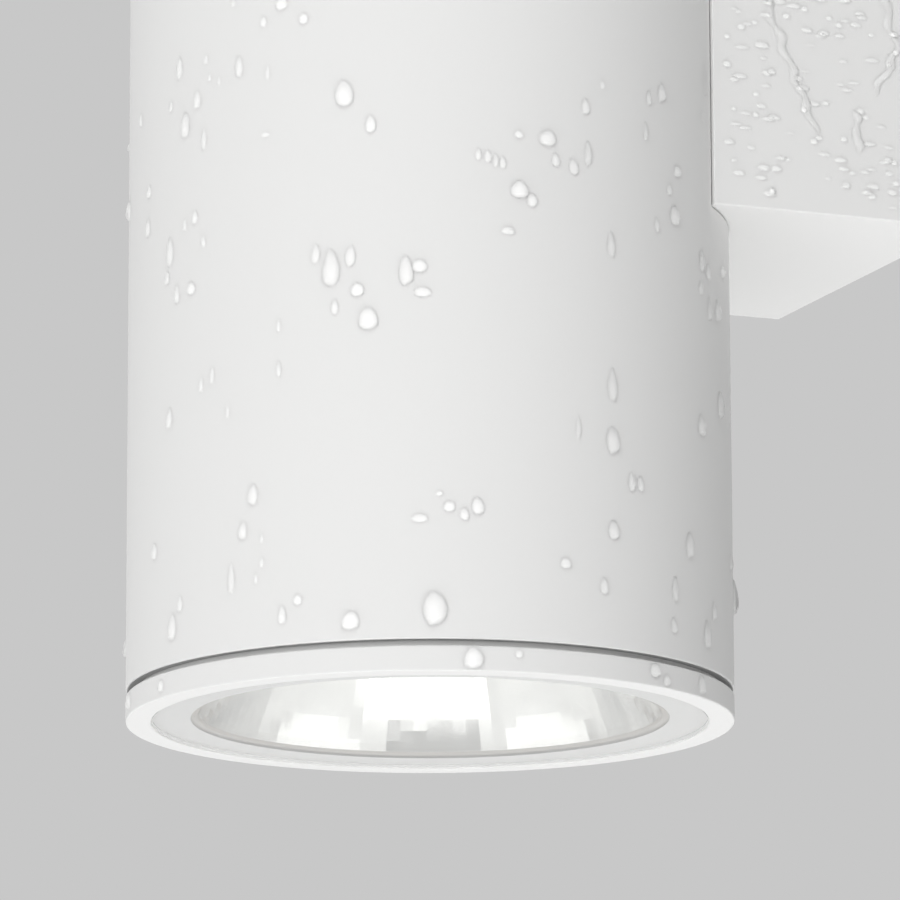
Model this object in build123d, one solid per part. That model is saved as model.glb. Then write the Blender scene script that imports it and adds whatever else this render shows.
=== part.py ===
from build123d import *
from math import cos, degrees, pi, radians, sin, sqrt, tan
import os

# Outdoor wall light: a white tube that shines up and down, held off the wall by a square box.
# Origin: centre of the face on the wall. +Y goes into the wall and +Z up. Sizes in millimetres.

# Lamp body
body_radius = 45.0
body_wall = 3.0
axis_to_flat = 32.3  # lamp axis to the flat that meets the wall box
box_to_end = 74.7  # from the wall box to the lamp's end face, above and below alike
shadow_gap = 0.93  # dark groove between tube and end ring
mouth_lip = 1.5  # tube thickness left round the ring's shoulder
mouth_depth = 3.0
edge_break = 0.25
pocket_clearance = 0.1  # above and below the wall box

# Wall box
box_width = 64.6
box_height = 64.6
box_depth = 40.5  # wall to the lamp's flat
box_wall = 2.5
box_front_wall = 3.0
arm_gasket_thickness = 0.15
arm_gasket_inset = 0.8
seam_edge_break = 0.1  # edges round the face that meets the lamp
wall_gasket_thickness = 1.0
wall_gasket_lip = 1.0  # part of the rim that hides the gasket
wall_gasket_clearance = 0.1
arm_screw_inset = 5.8  # screw centre to the box's inner wall
arm_boss_radius = 4.5
arm_boss_length = 5.0
lead_hole_radius = 5.4
lead_hole_inset = 9.8  # hole centre to the box's inner wall

# End ring
ring_height = 3.7
ring_face_width = 3.8
ring_thread_length = 6.0
ring_seat_width = 2.6  # ledge that carries the glass
thread_clearance = 0.05

# Front glass
glass_thickness = 4.0
glass_recess = 0.15
glass_clearance = 0.1
border_width = 5.7  # white fired-on border on the back of the glass
border_thickness = 0.1
seal_thickness = 0.4
seal_inset = 0.3

# O-ring between ring and tube
o_ring_section_radius = 0.6
o_ring_sides = 8
o_ring_clearance = 0.05

# Reflector: a parabola of flat facets
reflector_gap = 0.35  # glass to reflector rim
reflector_lip = 1.0  # rim that shows inside the glass border
reflector_height = 37.0
reflector_wall = 1.2
reflector_throat_radius = 8.7
reflector_clearance = 0.6
facet_columns = 54
facet_rows = 10
rim_flange_thickness = 1.2
collar_height = 2.0

# Light source
board_side = 19.0
board_thickness = 1.5
emitter_radius = 7.5
emitter_height = 0.3
holder_thickness = 3.5
holder_hole_radius = 9.0
holder_clearance = 0.15
holder_lip = 1.6  # ring on the holder round the reflector's collar
holder_lip_height = 1.5
holder_rim = 4.25  # screw centre to the holder's edge

# Heat sink
sink_clearance = 0.4
sink_plate_thickness = 4.0
fin_height = 16.0
fin_thickness = 1.5
fin_pitch = 5.5
fin_centre_gap = 7.5  # channel for the leads between the two middle fins
fin_pairs = 5
lug_radius = 4.2
lug_height = 8.0
lug_inset = 4.0  # lug centre to the tube's inner wall
lug_angles = (30, 150, 270)

# LED driver
driver_width = 30.0
driver_thickness = 22.0
driver_length = 56.0
driver_flange_length = 6.0
driver_flange_thickness = 2.0
driver_gap = 2.6  # driver to the lead hole beside it
driver_pad_radius = 3.5

# Wall bracket
bracket_thickness = 1.5
bracket_clearance = 1.8
ear_clearance = 0.2
ear_length = 12.0
ear_half_width = 9.0
ear_screw_height = 6.0  # wall to the side screws
slot_spacing = 44.0
slot_length = 9.0
slot_radius = 2.25
bracket_corner_radius = 3.0
cable_hole_drop = 15.0  # centre of the light to the supply cable's hole
cable_hole_radius = 6.5
cable_radius_clear = 4.0
grommet_flange = 2.1
grommet_nose = 3.5

# Terminal block
pole_pitch = 10.0
pole_width = 8.4
pole_count = 3
terminal_height = 12.0
terminal_length = 16.0
terminal_base = 5.0
terminal_rise = 11.0  # centre of the light to the block's centre
wire_hole_radius = 1.6

# Fasteners: shank radius, head radius, head height
arm_screw = (2.0, 3.6, 2.4)
sink_screw = (1.5, 2.8, 2.0)
small_screw = (1.2, 1.9, 1.3)
side_screw = (1.5, 2.8, 1.4)
sink_screw_length = 10.0
holder_screw_length = 6.5
side_screw_reach = 1.1  # tip past the ear
hole_clearance = 0.25  # radial, where a screw passes through

# Leads
lead_radius = 0.9
lead_spacing = 2.4
lead_insertion = 7.0  # how far a lead goes into the terminal block
led_lead_radius = 0.8
led_lead_height = 18.0  # centre of the light to where the LED leads leave the driver
led_lead_run = 17.5  # driver face to the run along the heat sink
lead_loop = 14.5  # how far the supply leads reach past the driver before they turn back
live_entry = 10.4  # driver's edge to where the live lead enters
neutral_entry = 8.0
earth_lead_drop = 3.6  # box's inner top to the earth lead's level run
led_lead_hole_radius = 2.6

# Earth tag
tag_x = 10.0
tag_z = 4.0
tag_radius = 4.2
tag_thickness = 0.8
tag_barrel_radius = 1.35
tag_barrel_end = 9.0  # screw centre to the end of the crimped barrel

# Worked out from the sizes above
lamp_half = box_height / 2 + box_to_end
tube_half = lamp_half - ring_height - shadow_gap
axis_y = -(box_depth + axis_to_flat)
bore_radius = body_radius - body_wall
mouth_radius = body_radius - mouth_lip
flat_inner_y = -box_depth - body_wall
box_front_y = -box_depth + arm_gasket_thickness
box_inner_y = box_front_y + box_front_wall
box_inner_half = box_width / 2 - box_wall
box_inner_half_height = box_height / 2 - box_wall
flat_half_chord = sqrt(body_radius**2 - axis_to_flat**2)
joint_half_width = min(box_inner_half, sqrt(bore_radius**2 - (axis_to_flat - body_wall) ** 2))
arm_screw_x = joint_half_width - arm_screw_inset
arm_screw_z = box_inner_half_height - arm_screw_inset
lead_hole_x = lead_hole_inset - joint_half_width
driver_x = lead_hole_x + lead_hole_radius + driver_gap + driver_width / 2
boss_end_y = flat_inner_y - arm_boss_length
driver_face_y = boss_end_y - driver_thickness
glass_radius = body_radius - ring_face_width - glass_clearance
seat_radius = glass_radius - ring_seat_width
clear_radius = glass_radius - border_width
glass_back = glass_recess + glass_thickness
seat_height = glass_back + border_thickness + seal_thickness
shoulder_height = ring_height + shadow_gap + mouth_depth - thread_clearance
shoulder_radius = mouth_radius - thread_clearance
thread_radius = bore_radius - thread_clearance
thread_end = shoulder_height + ring_thread_length
rim_radius = clear_radius - reflector_lip
rim_height = glass_back + reflector_gap
flange_radius = seat_radius - reflector_clearance
parabola_factor = (rim_radius**2 - reflector_throat_radius**2) / reflector_height
collar_foot_radius = sqrt(reflector_throat_radius**2 + parabola_factor * collar_height)
collar_radius = collar_foot_radius + reflector_wall
holder_lip_inner = collar_radius + holder_clearance
holder_lip_outer = holder_lip_inner + holder_lip
holder_screw_circle = holder_lip_outer + sink_screw[1] + hole_clearance
holder_radius = holder_screw_circle + holder_rim
holder_height = rim_height + reflector_height
sink_height = holder_height + holder_thickness
lug_circle = bore_radius - lug_inset
lug_seat_height = sink_height + sink_plate_thickness
fin_field_radius = lug_circle - lug_radius - reflector_clearance
lead_drop_y = driver_face_y - led_lead_run
lead_hole_offset = lead_drop_y - axis_y
terminal_width = pole_pitch * pole_count + 2.0


def turned(*points):
    """A piece turned about the Z axis from points of (radius, height)."""
    outline = Plane.XZ * make_face(Polyline(*points, close=True))
    return revolve(outline, Axis.Z)


def rod(radius, bottom, top, x=0, y=0):
    """An upright cylinder between two heights."""
    upright = Cylinder(radius, top - bottom, align=(Align.CENTER, Align.CENTER, Align.MIN))
    return Pos(x, y, bottom) * upright


def bar(radius, y_from, y_to, x, z):
    """A cylinder along Y."""
    lying = Rot(90, 0, 0) * Cylinder(radius, abs(y_to - y_from))
    return Pos(x, (y_from + y_to) / 2, z) * lying


def block(x_range, y_range, z_range):
    """A box between two corners."""
    spans = (x_range, y_range, z_range)
    sizes = [high - low for low, high in spans]
    centres = [(high + low) / 2 for low, high in spans]
    return Pos(*centres) * Box(*sizes)


def pan_screw(size, length):
    """A pan-head screw. Its head stands on the XY plane."""
    shank_radius, head_radius, head_height = size
    return turned(
        (0, -length),
        (shank_radius, -length),
        (shank_radius, 0),
        (head_radius, 0),
        (head_radius, head_height * 0.6),
        (head_radius * 0.7, head_height),
        (0, head_height),
    )


def sunk_screw(size, length):
    """A countersunk screw with a hexagon socket. Its flat head ends at the XY plane."""
    shank_radius, head_radius, head_height = size
    screw = turned(
        (0, -length),
        (shank_radius, -length),
        (shank_radius, -head_height),
        (head_radius, 0),
        (0, 0),
    )
    socket_depth = head_height * 0.6
    socket = extrude(RegularPolygon(shank_radius * 0.6, 6), amount=socket_depth)
    return screw - Pos(0, 0, -socket_depth) * socket


def lead(points, radius):
    """An insulated lead along straight runs joined by arcs as large as the runs allow."""
    corners = [Vector(*point) for point in points]
    radii = []
    for before, corner, after in zip(corners, corners[1:], corners[2:]):
        arriving = corner - before
        leaving = after - corner
        turn = arriving.get_angle(leaving)
        shorter = min(arriving.length, leaving.length)
        radii.append(0.45 * shorter / tan(radians(turn / 2)))
    path = FilletPolyline(*points, radius=radii)
    whole = None
    for edge in path.edges():
        section = Plane(origin=edge @ 0, z_dir=edge % 0) * Circle(radius)
        if edge.geom_type == GeomType.LINE:
            run = extrude(section, amount=edge.length)
        else:
            axis = Axis(edge.arc_center, (edge % 0).cross(edge % 1))
            run = revolve(section, axis, revolution_arc=degrees(edge.length / edge.radius))
        whole = run if whole is None else whole + run
    return whole


def as_group(shapes):
    """Separate solids that share one node."""
    return Compound(children=[solid for shape in shapes for solid in shape.solids()])


# Lamp body


def heat_sink_lugs():
    """Three lugs inside the tube that carry one heat sink, seen from that end of the lamp."""
    lugs = None
    for angle in lug_angles:
        lug = rod(lug_radius, lug_seat_height, lug_seat_height + lug_height, x=lug_circle)
        web = block(
            (lug_circle, bore_radius + body_wall / 2),
            (-lug_radius, lug_radius),
            (lug_seat_height, lug_seat_height + lug_height),
        )
        hole = rod(
            sink_screw[0] + thread_clearance,
            lug_seat_height,
            lug_seat_height + lug_height,
            x=lug_circle,
        )
        limit = rod(bore_radius + body_wall / 2, lug_seat_height, lug_seat_height + lug_height)
        turned_lug = Rot(0, 0, angle) * (((lug + web) & limit) - hole)
        lugs = turned_lug if lugs is None else lugs + turned_lug
    return lugs


def at_lower_end(shape):
    """Moves a piece from the engine's own frame to the lamp's lower end."""
    return Pos(0, axis_y, -lamp_half) * shape


def at_upper_end(shape):
    """The same piece, turned over, at the lamp's upper end."""
    return Rot(0, 180, 0) * at_lower_end(shape)


def lamp_body():
    """The tube with its pocket for the wall box, the lugs and the bosses inside it."""
    pocket_half = box_height / 2 + pocket_clearance
    reach = body_radius + axis_to_flat
    tube = turned(
        (0, -tube_half),
        (body_radius - edge_break, -tube_half),
        (body_radius, -tube_half + edge_break),
        (body_radius, tube_half - edge_break),
        (body_radius - edge_break, tube_half),
        (0, tube_half),
    )
    bore = turned(
        (0, -tube_half),
        (mouth_radius, -tube_half),
        (mouth_radius, -tube_half + mouth_depth),
        (bore_radius, -tube_half + mouth_depth),
        (bore_radius, tube_half - mouth_depth),
        (mouth_radius, tube_half - mouth_depth),
        (mouth_radius, tube_half),
        (0, tube_half),
    )
    pocket = block(
        (-reach, reach), (-box_depth, reach), (-pocket_half, pocket_half)
    )
    pocket_shell = block(
        (-reach, reach),
        (flat_inner_y, reach),
        (-pocket_half - body_wall, pocket_half + body_wall),
    )
    to_axis = Pos(0, axis_y, 0)
    body = to_axis * tube - pocket - (to_axis * bore - pocket_shell)
    body += at_lower_end(heat_sink_lugs()) + at_upper_end(heat_sink_lugs())
    boss_root = flat_inner_y + body_wall / 2
    for x, z in arm_screw_places():
        body += bar(arm_boss_radius, boss_root, boss_end_y, x, z)
        body -= bar(arm_screw[0] + thread_clearance, -box_depth, boss_end_y, x, z)
    for z in driver_screw_heights():
        body += bar(driver_pad_radius, boss_root, boss_end_y, driver_x, z)
        body -= bar(small_screw[0] + thread_clearance, flat_inner_y, boss_end_y, driver_x, z)
    return body - bar(lead_hole_radius, -box_depth, flat_inner_y, lead_hole_x, 0)


# Wall box and what joins it to the lamp body


def wall_box():
    """The square box, open to the wall, with its front wall on the lamp's flat."""
    outer = block(
        (-box_width / 2, box_width / 2),
        (box_front_y, 0),
        (-box_height / 2, box_height / 2),
    )
    outer = chamfer(outer.edges().filter_by(Axis.Y), edge_break)
    outer = chamfer(outer.faces().sort_by(Axis.Y)[0].edges(), seam_edge_break)
    rebate_x, rebate_z = rebate_half_sizes()
    outer -= block(
        (-rebate_x, rebate_x), (-wall_gasket_thickness, 0), (-rebate_z, rebate_z)
    )
    cavity = block(
        (-box_inner_half, box_inner_half),
        (box_inner_y, 0),
        (-box_inner_half_height, box_inner_half_height),
    )
    box = outer - cavity
    for x, z in arm_screw_places():
        box -= bar(arm_screw[0] + hole_clearance, box_front_y, box_inner_y, x, z)
    box -= bar(lead_hole_radius, box_front_y, box_inner_y, lead_hole_x, 0)
    box -= bar(arm_screw[0] + thread_clearance, box_front_y, box_inner_y, tag_x, tag_z)
    shank_radius, head_radius, head_height = side_screw
    countersink = turned(
        (0, -box_wall),
        (shank_radius + hole_clearance, -box_wall),
        (shank_radius + hole_clearance, -head_height),
        (head_radius + hole_clearance, 0),
        (0, 0),
    )
    for side in (-1, 1):
        box -= at_side(countersink, side)
    return box


def rebate_half_sizes():
    """Half width and half height of the step in the box's rim that takes the wall gasket."""
    return box_width / 2 - wall_gasket_lip, box_height / 2 - wall_gasket_lip


def at_side(shape, side):
    """Puts a piece with its top on the box's left (-1) or right (1) wall."""
    return Pos(side * box_width / 2, -ear_screw_height, 0) * (Rot(0, side * 90, 0) * shape)


def arm_screw_places():
    """Centres (x, z) of the four screws between box and lamp body."""
    return [(x, z) for x in (-arm_screw_x, arm_screw_x) for z in (-arm_screw_z, arm_screw_z)]


def arm_gasket():
    """Black gasket in the seam between box and lamp body."""
    half_width = min(flat_half_chord, box_width / 2) - arm_gasket_inset
    half_height = box_height / 2 - arm_gasket_inset
    gasket = block(
        (-half_width, half_width), (-box_depth, box_front_y), (-half_height, half_height)
    )
    for x, z in arm_screw_places():
        gasket -= bar(arm_screw[0] + hole_clearance, -box_depth, box_front_y, x, z)
    return gasket - bar(lead_hole_radius, -box_depth, box_front_y, lead_hole_x, 0)


def arm_screws():
    """Four screws from inside the box into the bosses of the lamp body."""
    length = box_front_wall + arm_gasket_thickness + body_wall + arm_boss_length
    screw = Rot(-90, 0, 0) * pan_screw(arm_screw, length)
    return as_group([Pos(x, box_inner_y, z) * screw for x, z in arm_screw_places()])


def lead_grommet():
    """Rubber bush that lines the holes through box and lamp body."""
    bore = lead_hole_radius - grommet_flange
    length = box_inner_y - flat_inner_y
    barrel = lead_hole_radius - glass_clearance
    bush = turned(
        (bore, -length),
        (barrel, -length),
        (barrel, 0),
        (lead_hole_radius + 1.5, 0),
        (lead_hole_radius + 1.0, 1.5),
        (bore, 1.5),
    )
    return Pos(lead_hole_x, box_inner_y, 0) * (Rot(-90, 0, 0) * bush)


def wall_gasket():
    """Foam gasket in the step of the box's rim, level with the wall face."""
    outer_x, outer_z = (half - wall_gasket_clearance for half in rebate_half_sizes())
    y_range = (-wall_gasket_thickness, 0)
    frame = block((-outer_x, outer_x), y_range, (-outer_z, outer_z))
    window_x = box_inner_half + ear_clearance
    window_z = box_inner_half_height + ear_clearance
    return frame - block((-window_x, window_x), y_range, (-window_z, window_z))


# Wall bracket and wiring


def wall_bracket():
    """Steel plate on the wall, with an ear each side that takes a side screw."""
    plate_x = box_inner_half - bracket_clearance
    plate_z = box_inner_half_height - bracket_clearance
    plate = block((-plate_x, plate_x), (-bracket_thickness, 0), (-plate_z, plate_z))
    plate = fillet(plate.edges().filter_by(Axis.Y), bracket_corner_radius)
    outside = box_inner_half - ear_clearance
    inside = outside - bracket_thickness
    outline = make_face(
        Polyline(
            (-outside, -ear_length),
            (-outside, 0),
            (outside, 0),
            (outside, -ear_length),
            (inside, -ear_length),
            (inside, -bracket_thickness),
            (-inside, -bracket_thickness),
            (-inside, -ear_length),
            close=True,
        )
    )
    strap = extrude(outline, amount=ear_half_width, both=True)
    bends = strap.edges().filter_by(Axis.Z).filter_by_position(
        Axis.Y, -bracket_thickness / 4, bracket_thickness / 4
    )
    strap = fillet(bends, bracket_thickness)
    bracket = plate + strap
    slot = Rot(90, 0, 0) * extrude(
        SlotOverall(slot_length, 2 * slot_radius), amount=bracket_thickness, both=True
    )
    for side in (-1, 1):
        bracket -= Pos(side * slot_spacing / 2, 0, 0) * slot
        tapped = turned(
            (0, -box_width / 4),
            (side_screw[0] + thread_clearance, -box_width / 4),
            (side_screw[0] + thread_clearance, 0),
            (0, 0),
        )
        bracket -= at_side(tapped, side)
    tapped_radius = small_screw[0] + thread_clearance
    for x in fixing_places():
        bracket -= bar(tapped_radius, -bracket_thickness, 0, x, terminal_rise)
    return bracket - bar(cable_hole_radius, -bracket_thickness, 0, 0, -cable_hole_drop)


def side_screws():
    """Two countersunk screws that hold the box on the bracket's ears."""
    length = box_wall + ear_clearance + bracket_thickness + side_screw_reach
    return as_group([at_side(sunk_screw(side_screw, length), side) for side in (-1, 1)])


def cable_grommet():
    """Rubber grommet for the supply cable in the bracket."""
    barrel = cable_hole_radius - glass_clearance
    bush = turned(
        (cable_radius_clear, 0),
        (barrel, 0),
        (barrel, bracket_thickness),
        (cable_hole_radius + grommet_flange, bracket_thickness),
        (cable_hole_radius + grommet_flange, bracket_thickness + 1.2),
        (cable_radius_clear + 1.2, bracket_thickness + grommet_nose),
        (cable_radius_clear, bracket_thickness + grommet_nose),
    )
    return Pos(0, 0, -cable_hole_drop) * (Rot(90, 0, 0) * bush)


def pole_places():
    """Sideways place of each pole of the terminal block."""
    return [(index - (pole_count - 1) / 2) * pole_pitch for index in range(pole_count)]


def clamp_heights():
    """Heights of the two clamp screws of a pole."""
    return [terminal_rise - terminal_length / 4, terminal_rise + terminal_length / 4]


def wire_hole_y():
    """Distance of the wire holes from the wall, as a place along Y."""
    return -bracket_thickness - (terminal_base + terminal_height) / 2


def seated_lead_y():
    """Place along Y of a lead that is clamped against the bottom of its wire hole."""
    return wire_hole_y() + wire_hole_radius - lead_radius


def terminal_block():
    """Three-pole terminal block on the bracket."""
    bottom = terminal_rise - terminal_length / 2
    top = terminal_rise + terminal_length / 2
    back = -bracket_thickness
    body = block(
        (-terminal_width / 2, terminal_width / 2), (back - terminal_base, back), (bottom, top)
    )
    for x in pole_places():
        tower = block(
            (x - pole_width / 2, x + pole_width / 2),
            (back - terminal_height, back - terminal_base),
            (bottom, top),
        )
        front_edges = tower.faces().sort_by(Axis.Y)[0].edges().filter_by(Axis.Z)
        body += chamfer(front_edges, 1)
    front = back - terminal_height
    for x in pole_places():
        body -= rod(wire_hole_radius, bottom, top, x, wire_hole_y())
        for z in clamp_heights():
            body -= bar(small_screw[0] + thread_clearance, front, wire_hole_y(), x, z)
    for x in fixing_places():
        body -= bar(small_screw[0] + hole_clearance, back - terminal_base, back, x, terminal_rise)
        body -= bar(
            small_screw[1] + hole_clearance, front, back - terminal_base, x, terminal_rise
        )
    return body


def fixing_places():
    """Sideways place of each screw that holds the terminal block, between its poles."""
    poles = pole_places()
    return [(left + right) / 2 for left, right in zip(poles, poles[1:])]


def terminal_screws():
    """The clamp screws, sunk in the poles."""
    front = -bracket_thickness - terminal_height + 0.6
    length = seated_lead_y() - lead_radius - thread_clearance - front
    plug = turned(
        (0, -length),
        (small_screw[0], -length),
        (small_screw[0], 0),
        (0, 0),
    )
    drive = block((-0.9, 0.9), (-0.25, 0.25), (-0.6, 0))
    screw = Rot(90, 0, 0) * (plug - drive)
    return as_group([Pos(x, front, z) * screw for x in pole_places() for z in clamp_heights()])


def terminal_fixings():
    """The screws between the poles that hold the block on the bracket."""
    length = terminal_base + bracket_thickness - thread_clearance
    screw = Rot(90, 0, 0) * pan_screw(small_screw, length)
    seat = -bracket_thickness - terminal_base
    return as_group([Pos(x, seat, terminal_rise) * screw for x in fixing_places()])


def earth_tag():
    """Crimped ring tag on the box's front wall."""
    front = box_inner_y + tag_thickness
    barrel_y = box_inner_y + tag_barrel_radius
    barrel_start = tag_z + tag_radius + 0.4
    tag = bar(tag_radius, box_inner_y, front, tag_x, tag_z)
    tag += block(
        (tag_x - tag_barrel_radius, tag_x + tag_barrel_radius),
        (box_inner_y, front),
        (tag_z, barrel_start + 1),
    )
    tag += rod(tag_barrel_radius, barrel_start, tag_z + tag_barrel_end, tag_x, barrel_y)
    return tag - bar(arm_screw[0] + hole_clearance, box_inner_y, front, tag_x, tag_z)


def earth_screw():
    """Brass screw that holds the earth tag on the box."""
    length = tag_thickness + box_front_wall - thread_clearance
    screw = Rot(-90, 0, 0) * pan_screw(arm_screw, length)
    return Pos(tag_x, box_inner_y + tag_thickness, tag_z) * screw


def earth_lead():
    """Lead from the third pole over to the earth tag."""
    start = terminal_rise + terminal_length / 2 - lead_insertion
    turn = box_inner_half_height - earth_lead_drop
    far = box_inner_y + tag_barrel_radius
    pole = pole_places()[-1]
    return lead(
        [
            (pole, seated_lead_y(), start),
            (pole, seated_lead_y(), turn),
            (tag_x, far, turn),
            (tag_x, far, tag_z + tag_barrel_end),
        ],
        lead_radius,
    )


def supply_leads():
    """Live and neutral leads from the terminal block through the grommet to the driver."""
    start = terminal_rise + terminal_length / 2 - lead_insertion
    live, neutral = pole_places()[:2]
    near = seated_lead_y()
    live_x = lead_hole_x - lead_spacing / 2
    neutral_x = lead_hole_x + lead_spacing / 2
    live_turn = driver_face_y - lead_loop
    neutral_turn = live_turn + lead_spacing
    driver_edge = driver_x - driver_width / 2
    live_route = [
        (live, near, start),
        (live, near, 26.0),
        (-15.0, -20.0, 26.2),
        (-20.0, -28.0, 13.0),
        (live_x, -28.5, 0),
        (live_x, live_turn, 0),
        (driver_edge + live_entry, live_turn, 0),
        (driver_edge + live_entry, driver_face_y, 0),
    ]
    neutral_route = [
        (neutral, near, start),
        (neutral, near, 26.0),
        (-8.0, -21.0, 26.2),
        (-15.0, -27.5, 13.5),
        (neutral_x, -29.5, 0),
        (neutral_x, neutral_turn, 0),
        (driver_edge + neutral_entry, neutral_turn, 0),
        (driver_edge + neutral_entry, driver_face_y, 0),
    ]
    return as_group([lead(live_route, lead_radius), lead(neutral_route, lead_radius)])


# LED driver


def driver_screw_heights():
    """Heights of the driver's two screws."""
    height = driver_length / 2 + driver_flange_length / 2
    return (-height, height)


def led_driver():
    """Potted driver with a flange at each end, on two pads inside the lamp's flat."""
    x_range = (driver_x - driver_width / 2, driver_x + driver_width / 2)
    half = driver_length / 2
    case = block(x_range, (driver_face_y, boss_end_y), (-half, half))
    front = case.faces().sort_by(Axis.Y)[0]
    case = fillet(front.edges().filter_by(Axis.Z), 2)
    flange = block(
        x_range,
        (boss_end_y - driver_flange_thickness, boss_end_y),
        (-half - driver_flange_length, half + driver_flange_length),
    )
    driver = case + flange
    for z in driver_screw_heights():
        driver -= bar(
            small_screw[0] + hole_clearance,
            boss_end_y - driver_flange_thickness,
            boss_end_y,
            driver_x,
            z,
        )
    return driver


def driver_screws():
    """Two screws through the driver's flanges into the pads."""
    length = driver_flange_thickness + arm_boss_length - thread_clearance
    screw = Rot(90, 0, 0) * pan_screw(small_screw, length)
    seat = boss_end_y - driver_flange_thickness
    return as_group([Pos(driver_x, seat, z) * screw for z in driver_screw_heights()])


# Light engine: the same pieces at both ends, in a frame that starts at the lamp's end face


def end_ring():
    """Threaded ring that closes the tube and carries the glass."""
    face_inner = body_radius - ring_face_width
    groove_middle = o_ring_height()
    groove_half = o_ring_section_radius + 3 * o_ring_clearance
    groove_floor = o_ring_radius() - o_ring_section_radius - o_ring_clearance
    return turned(
        (face_inner + edge_break / 2, 0),
        (body_radius - edge_break, 0),
        (body_radius, edge_break),
        (body_radius, ring_height - edge_break / 2),
        (body_radius - edge_break / 2, ring_height),
        (shoulder_radius, ring_height),
        (shoulder_radius, groove_middle - groove_half),
        (groove_floor, groove_middle - groove_half),
        (groove_floor, groove_middle + groove_half),
        (shoulder_radius, groove_middle + groove_half),
        (shoulder_radius, shoulder_height),
        (thread_radius, shoulder_height),
        (thread_radius, thread_end - 2 * edge_break),
        (thread_radius - 2 * edge_break, thread_end),
        (seat_radius, thread_end),
        (seat_radius, seat_height),
        (face_inner, seat_height),
        (face_inner, edge_break / 2),
    )


def o_ring_radius():
    """Radius of the O-ring's centre line."""
    return mouth_radius - o_ring_clearance - o_ring_section_radius


def o_ring_height():
    """Height of the O-ring above the lamp's end face."""
    return ring_height + shadow_gap + mouth_depth / 2


def o_ring():
    """O-ring between the ring's shoulder and the tube's mouth, pressed a little flat."""
    corners = []
    for side in range(o_ring_sides):
        angle = 2 * pi * (side + 0.5) / o_ring_sides
        reach = o_ring_section_radius / cos(pi / o_ring_sides)
        corners.append(
            (o_ring_radius() + reach * cos(angle), o_ring_height() + reach * sin(angle))
        )
    return turned(*corners)


def front_glass():
    """Flat tempered glass, flush with the ring."""
    rim = glass_radius - edge_break
    return turned(
        (0, glass_recess),
        (rim, glass_recess),
        (glass_radius, glass_recess + edge_break),
        (glass_radius, glass_back - edge_break),
        (rim, glass_back),
        (0, glass_back),
    )


def flat_ring(inner_radius, outer_radius, bottom, top):
    """A flat ring between two radii and two heights."""
    return turned(
        (inner_radius, bottom), (outer_radius, bottom), (outer_radius, top), (inner_radius, top)
    )


def glass_border():
    """White border fired on the back of the glass."""
    return flat_ring(
        clear_radius, glass_radius - edge_break, glass_back, glass_back + border_thickness
    )


def glass_seal():
    """Seal between the glass and its seat in the ring."""
    return flat_ring(
        seat_radius + seal_inset,
        glass_radius - seal_inset,
        glass_back + border_thickness,
        seat_height,
    )


def reflector_radius(rise):
    """Radius of the parabola at a height above the reflector's rim."""
    return sqrt(rim_radius**2 - parabola_factor * rise)


def reflector_outside(rise):
    """Outer radius of the reflector, one wall thickness off the parabola."""
    radius = reflector_radius(rise)
    slope = parabola_factor / (2 * radius)
    return radius + reflector_wall * sqrt(1 + slope**2)


def facet_corners(rise):
    """Corners of the facets at a height above the reflector's rim."""
    radius = reflector_radius(rise)
    angles = [2 * pi * column / facet_columns for column in range(facet_columns)]
    return [(radius * cos(a), radius * sin(a), rim_height + rise) for a in angles]


def facet_rises():
    """Heights of the lines between the rows of facets."""
    return [reflector_height * row / facet_rows for row in range(facet_rows + 1)]


def faceted_inside():
    """The space in the reflector, bounded by flat facets in rows and columns."""
    rings = [facet_corners(rise) for rise in facet_rises()]
    outlines = [rings[0], rings[-1]]
    for low, high in zip(rings, rings[1:]):
        for column in range(facet_columns):
            after = (column + 1) % facet_columns
            outlines.append([low[column], low[after], high[after], high[column]])
    facets = [Face(Wire.make_polygon(outline)) for outline in outlines]
    return Solid(Shell(facets))


def reflector():
    """Parabolic reflector whose inside is made of flat facets in rows and columns."""
    flange_top = rim_height + rim_flange_thickness
    collar_foot = reflector_height - collar_height
    skin_rises = [r for r in facet_rises()[1:] if rim_flange_thickness < r < collar_foot]
    shell = turned(
        (0, rim_height),
        (flange_radius, rim_height),
        (flange_radius, flange_top),
        (reflector_outside(rim_flange_thickness), flange_top),
        *[(reflector_outside(rise), rim_height + rise) for rise in skin_rises],
        (collar_radius, holder_height - collar_height),
        (collar_radius, holder_height),
        (0, holder_height),
    )
    return shell - faceted_inside()


def led_board():
    """Square LED board on the heat sink."""
    half = board_side / 2
    return block((-half, half), (-half, half), (sink_height - board_thickness, sink_height))


def led_emitter():
    """Round light-emitting disc on the board."""
    top = sink_height - board_thickness
    return rod(emitter_radius, top - emitter_height, top)


def led_holder():
    """Moulded holder that clamps the board and centres the reflector."""
    holder = turned(
        (holder_hole_radius, holder_height),
        (holder_lip_inner, holder_height),
        (holder_lip_inner, holder_height - holder_lip_height),
        (holder_lip_outer, holder_height - holder_lip_height),
        (holder_lip_outer, holder_height),
        (holder_radius - edge_break, holder_height),
        (holder_radius, holder_height + edge_break),
        (holder_radius, sink_height),
        (holder_hole_radius, sink_height),
    )
    half = board_side / 2 + holder_clearance
    holder -= block((-half, half), (-half, half), (sink_height - board_thickness, sink_height))
    for x in (-holder_screw_circle, holder_screw_circle):
        holder -= rod(sink_screw[0] + hole_clearance, holder_height, sink_height, x)
    return holder


def holder_screws():
    """Two screws through the holder into the heat sink."""
    screw = Rot(180, 0, 0) * pan_screw(sink_screw, holder_screw_length)
    sides = (-holder_screw_circle, holder_screw_circle)
    return as_group([Pos(x, 0, holder_height) * screw for x in sides])


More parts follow.
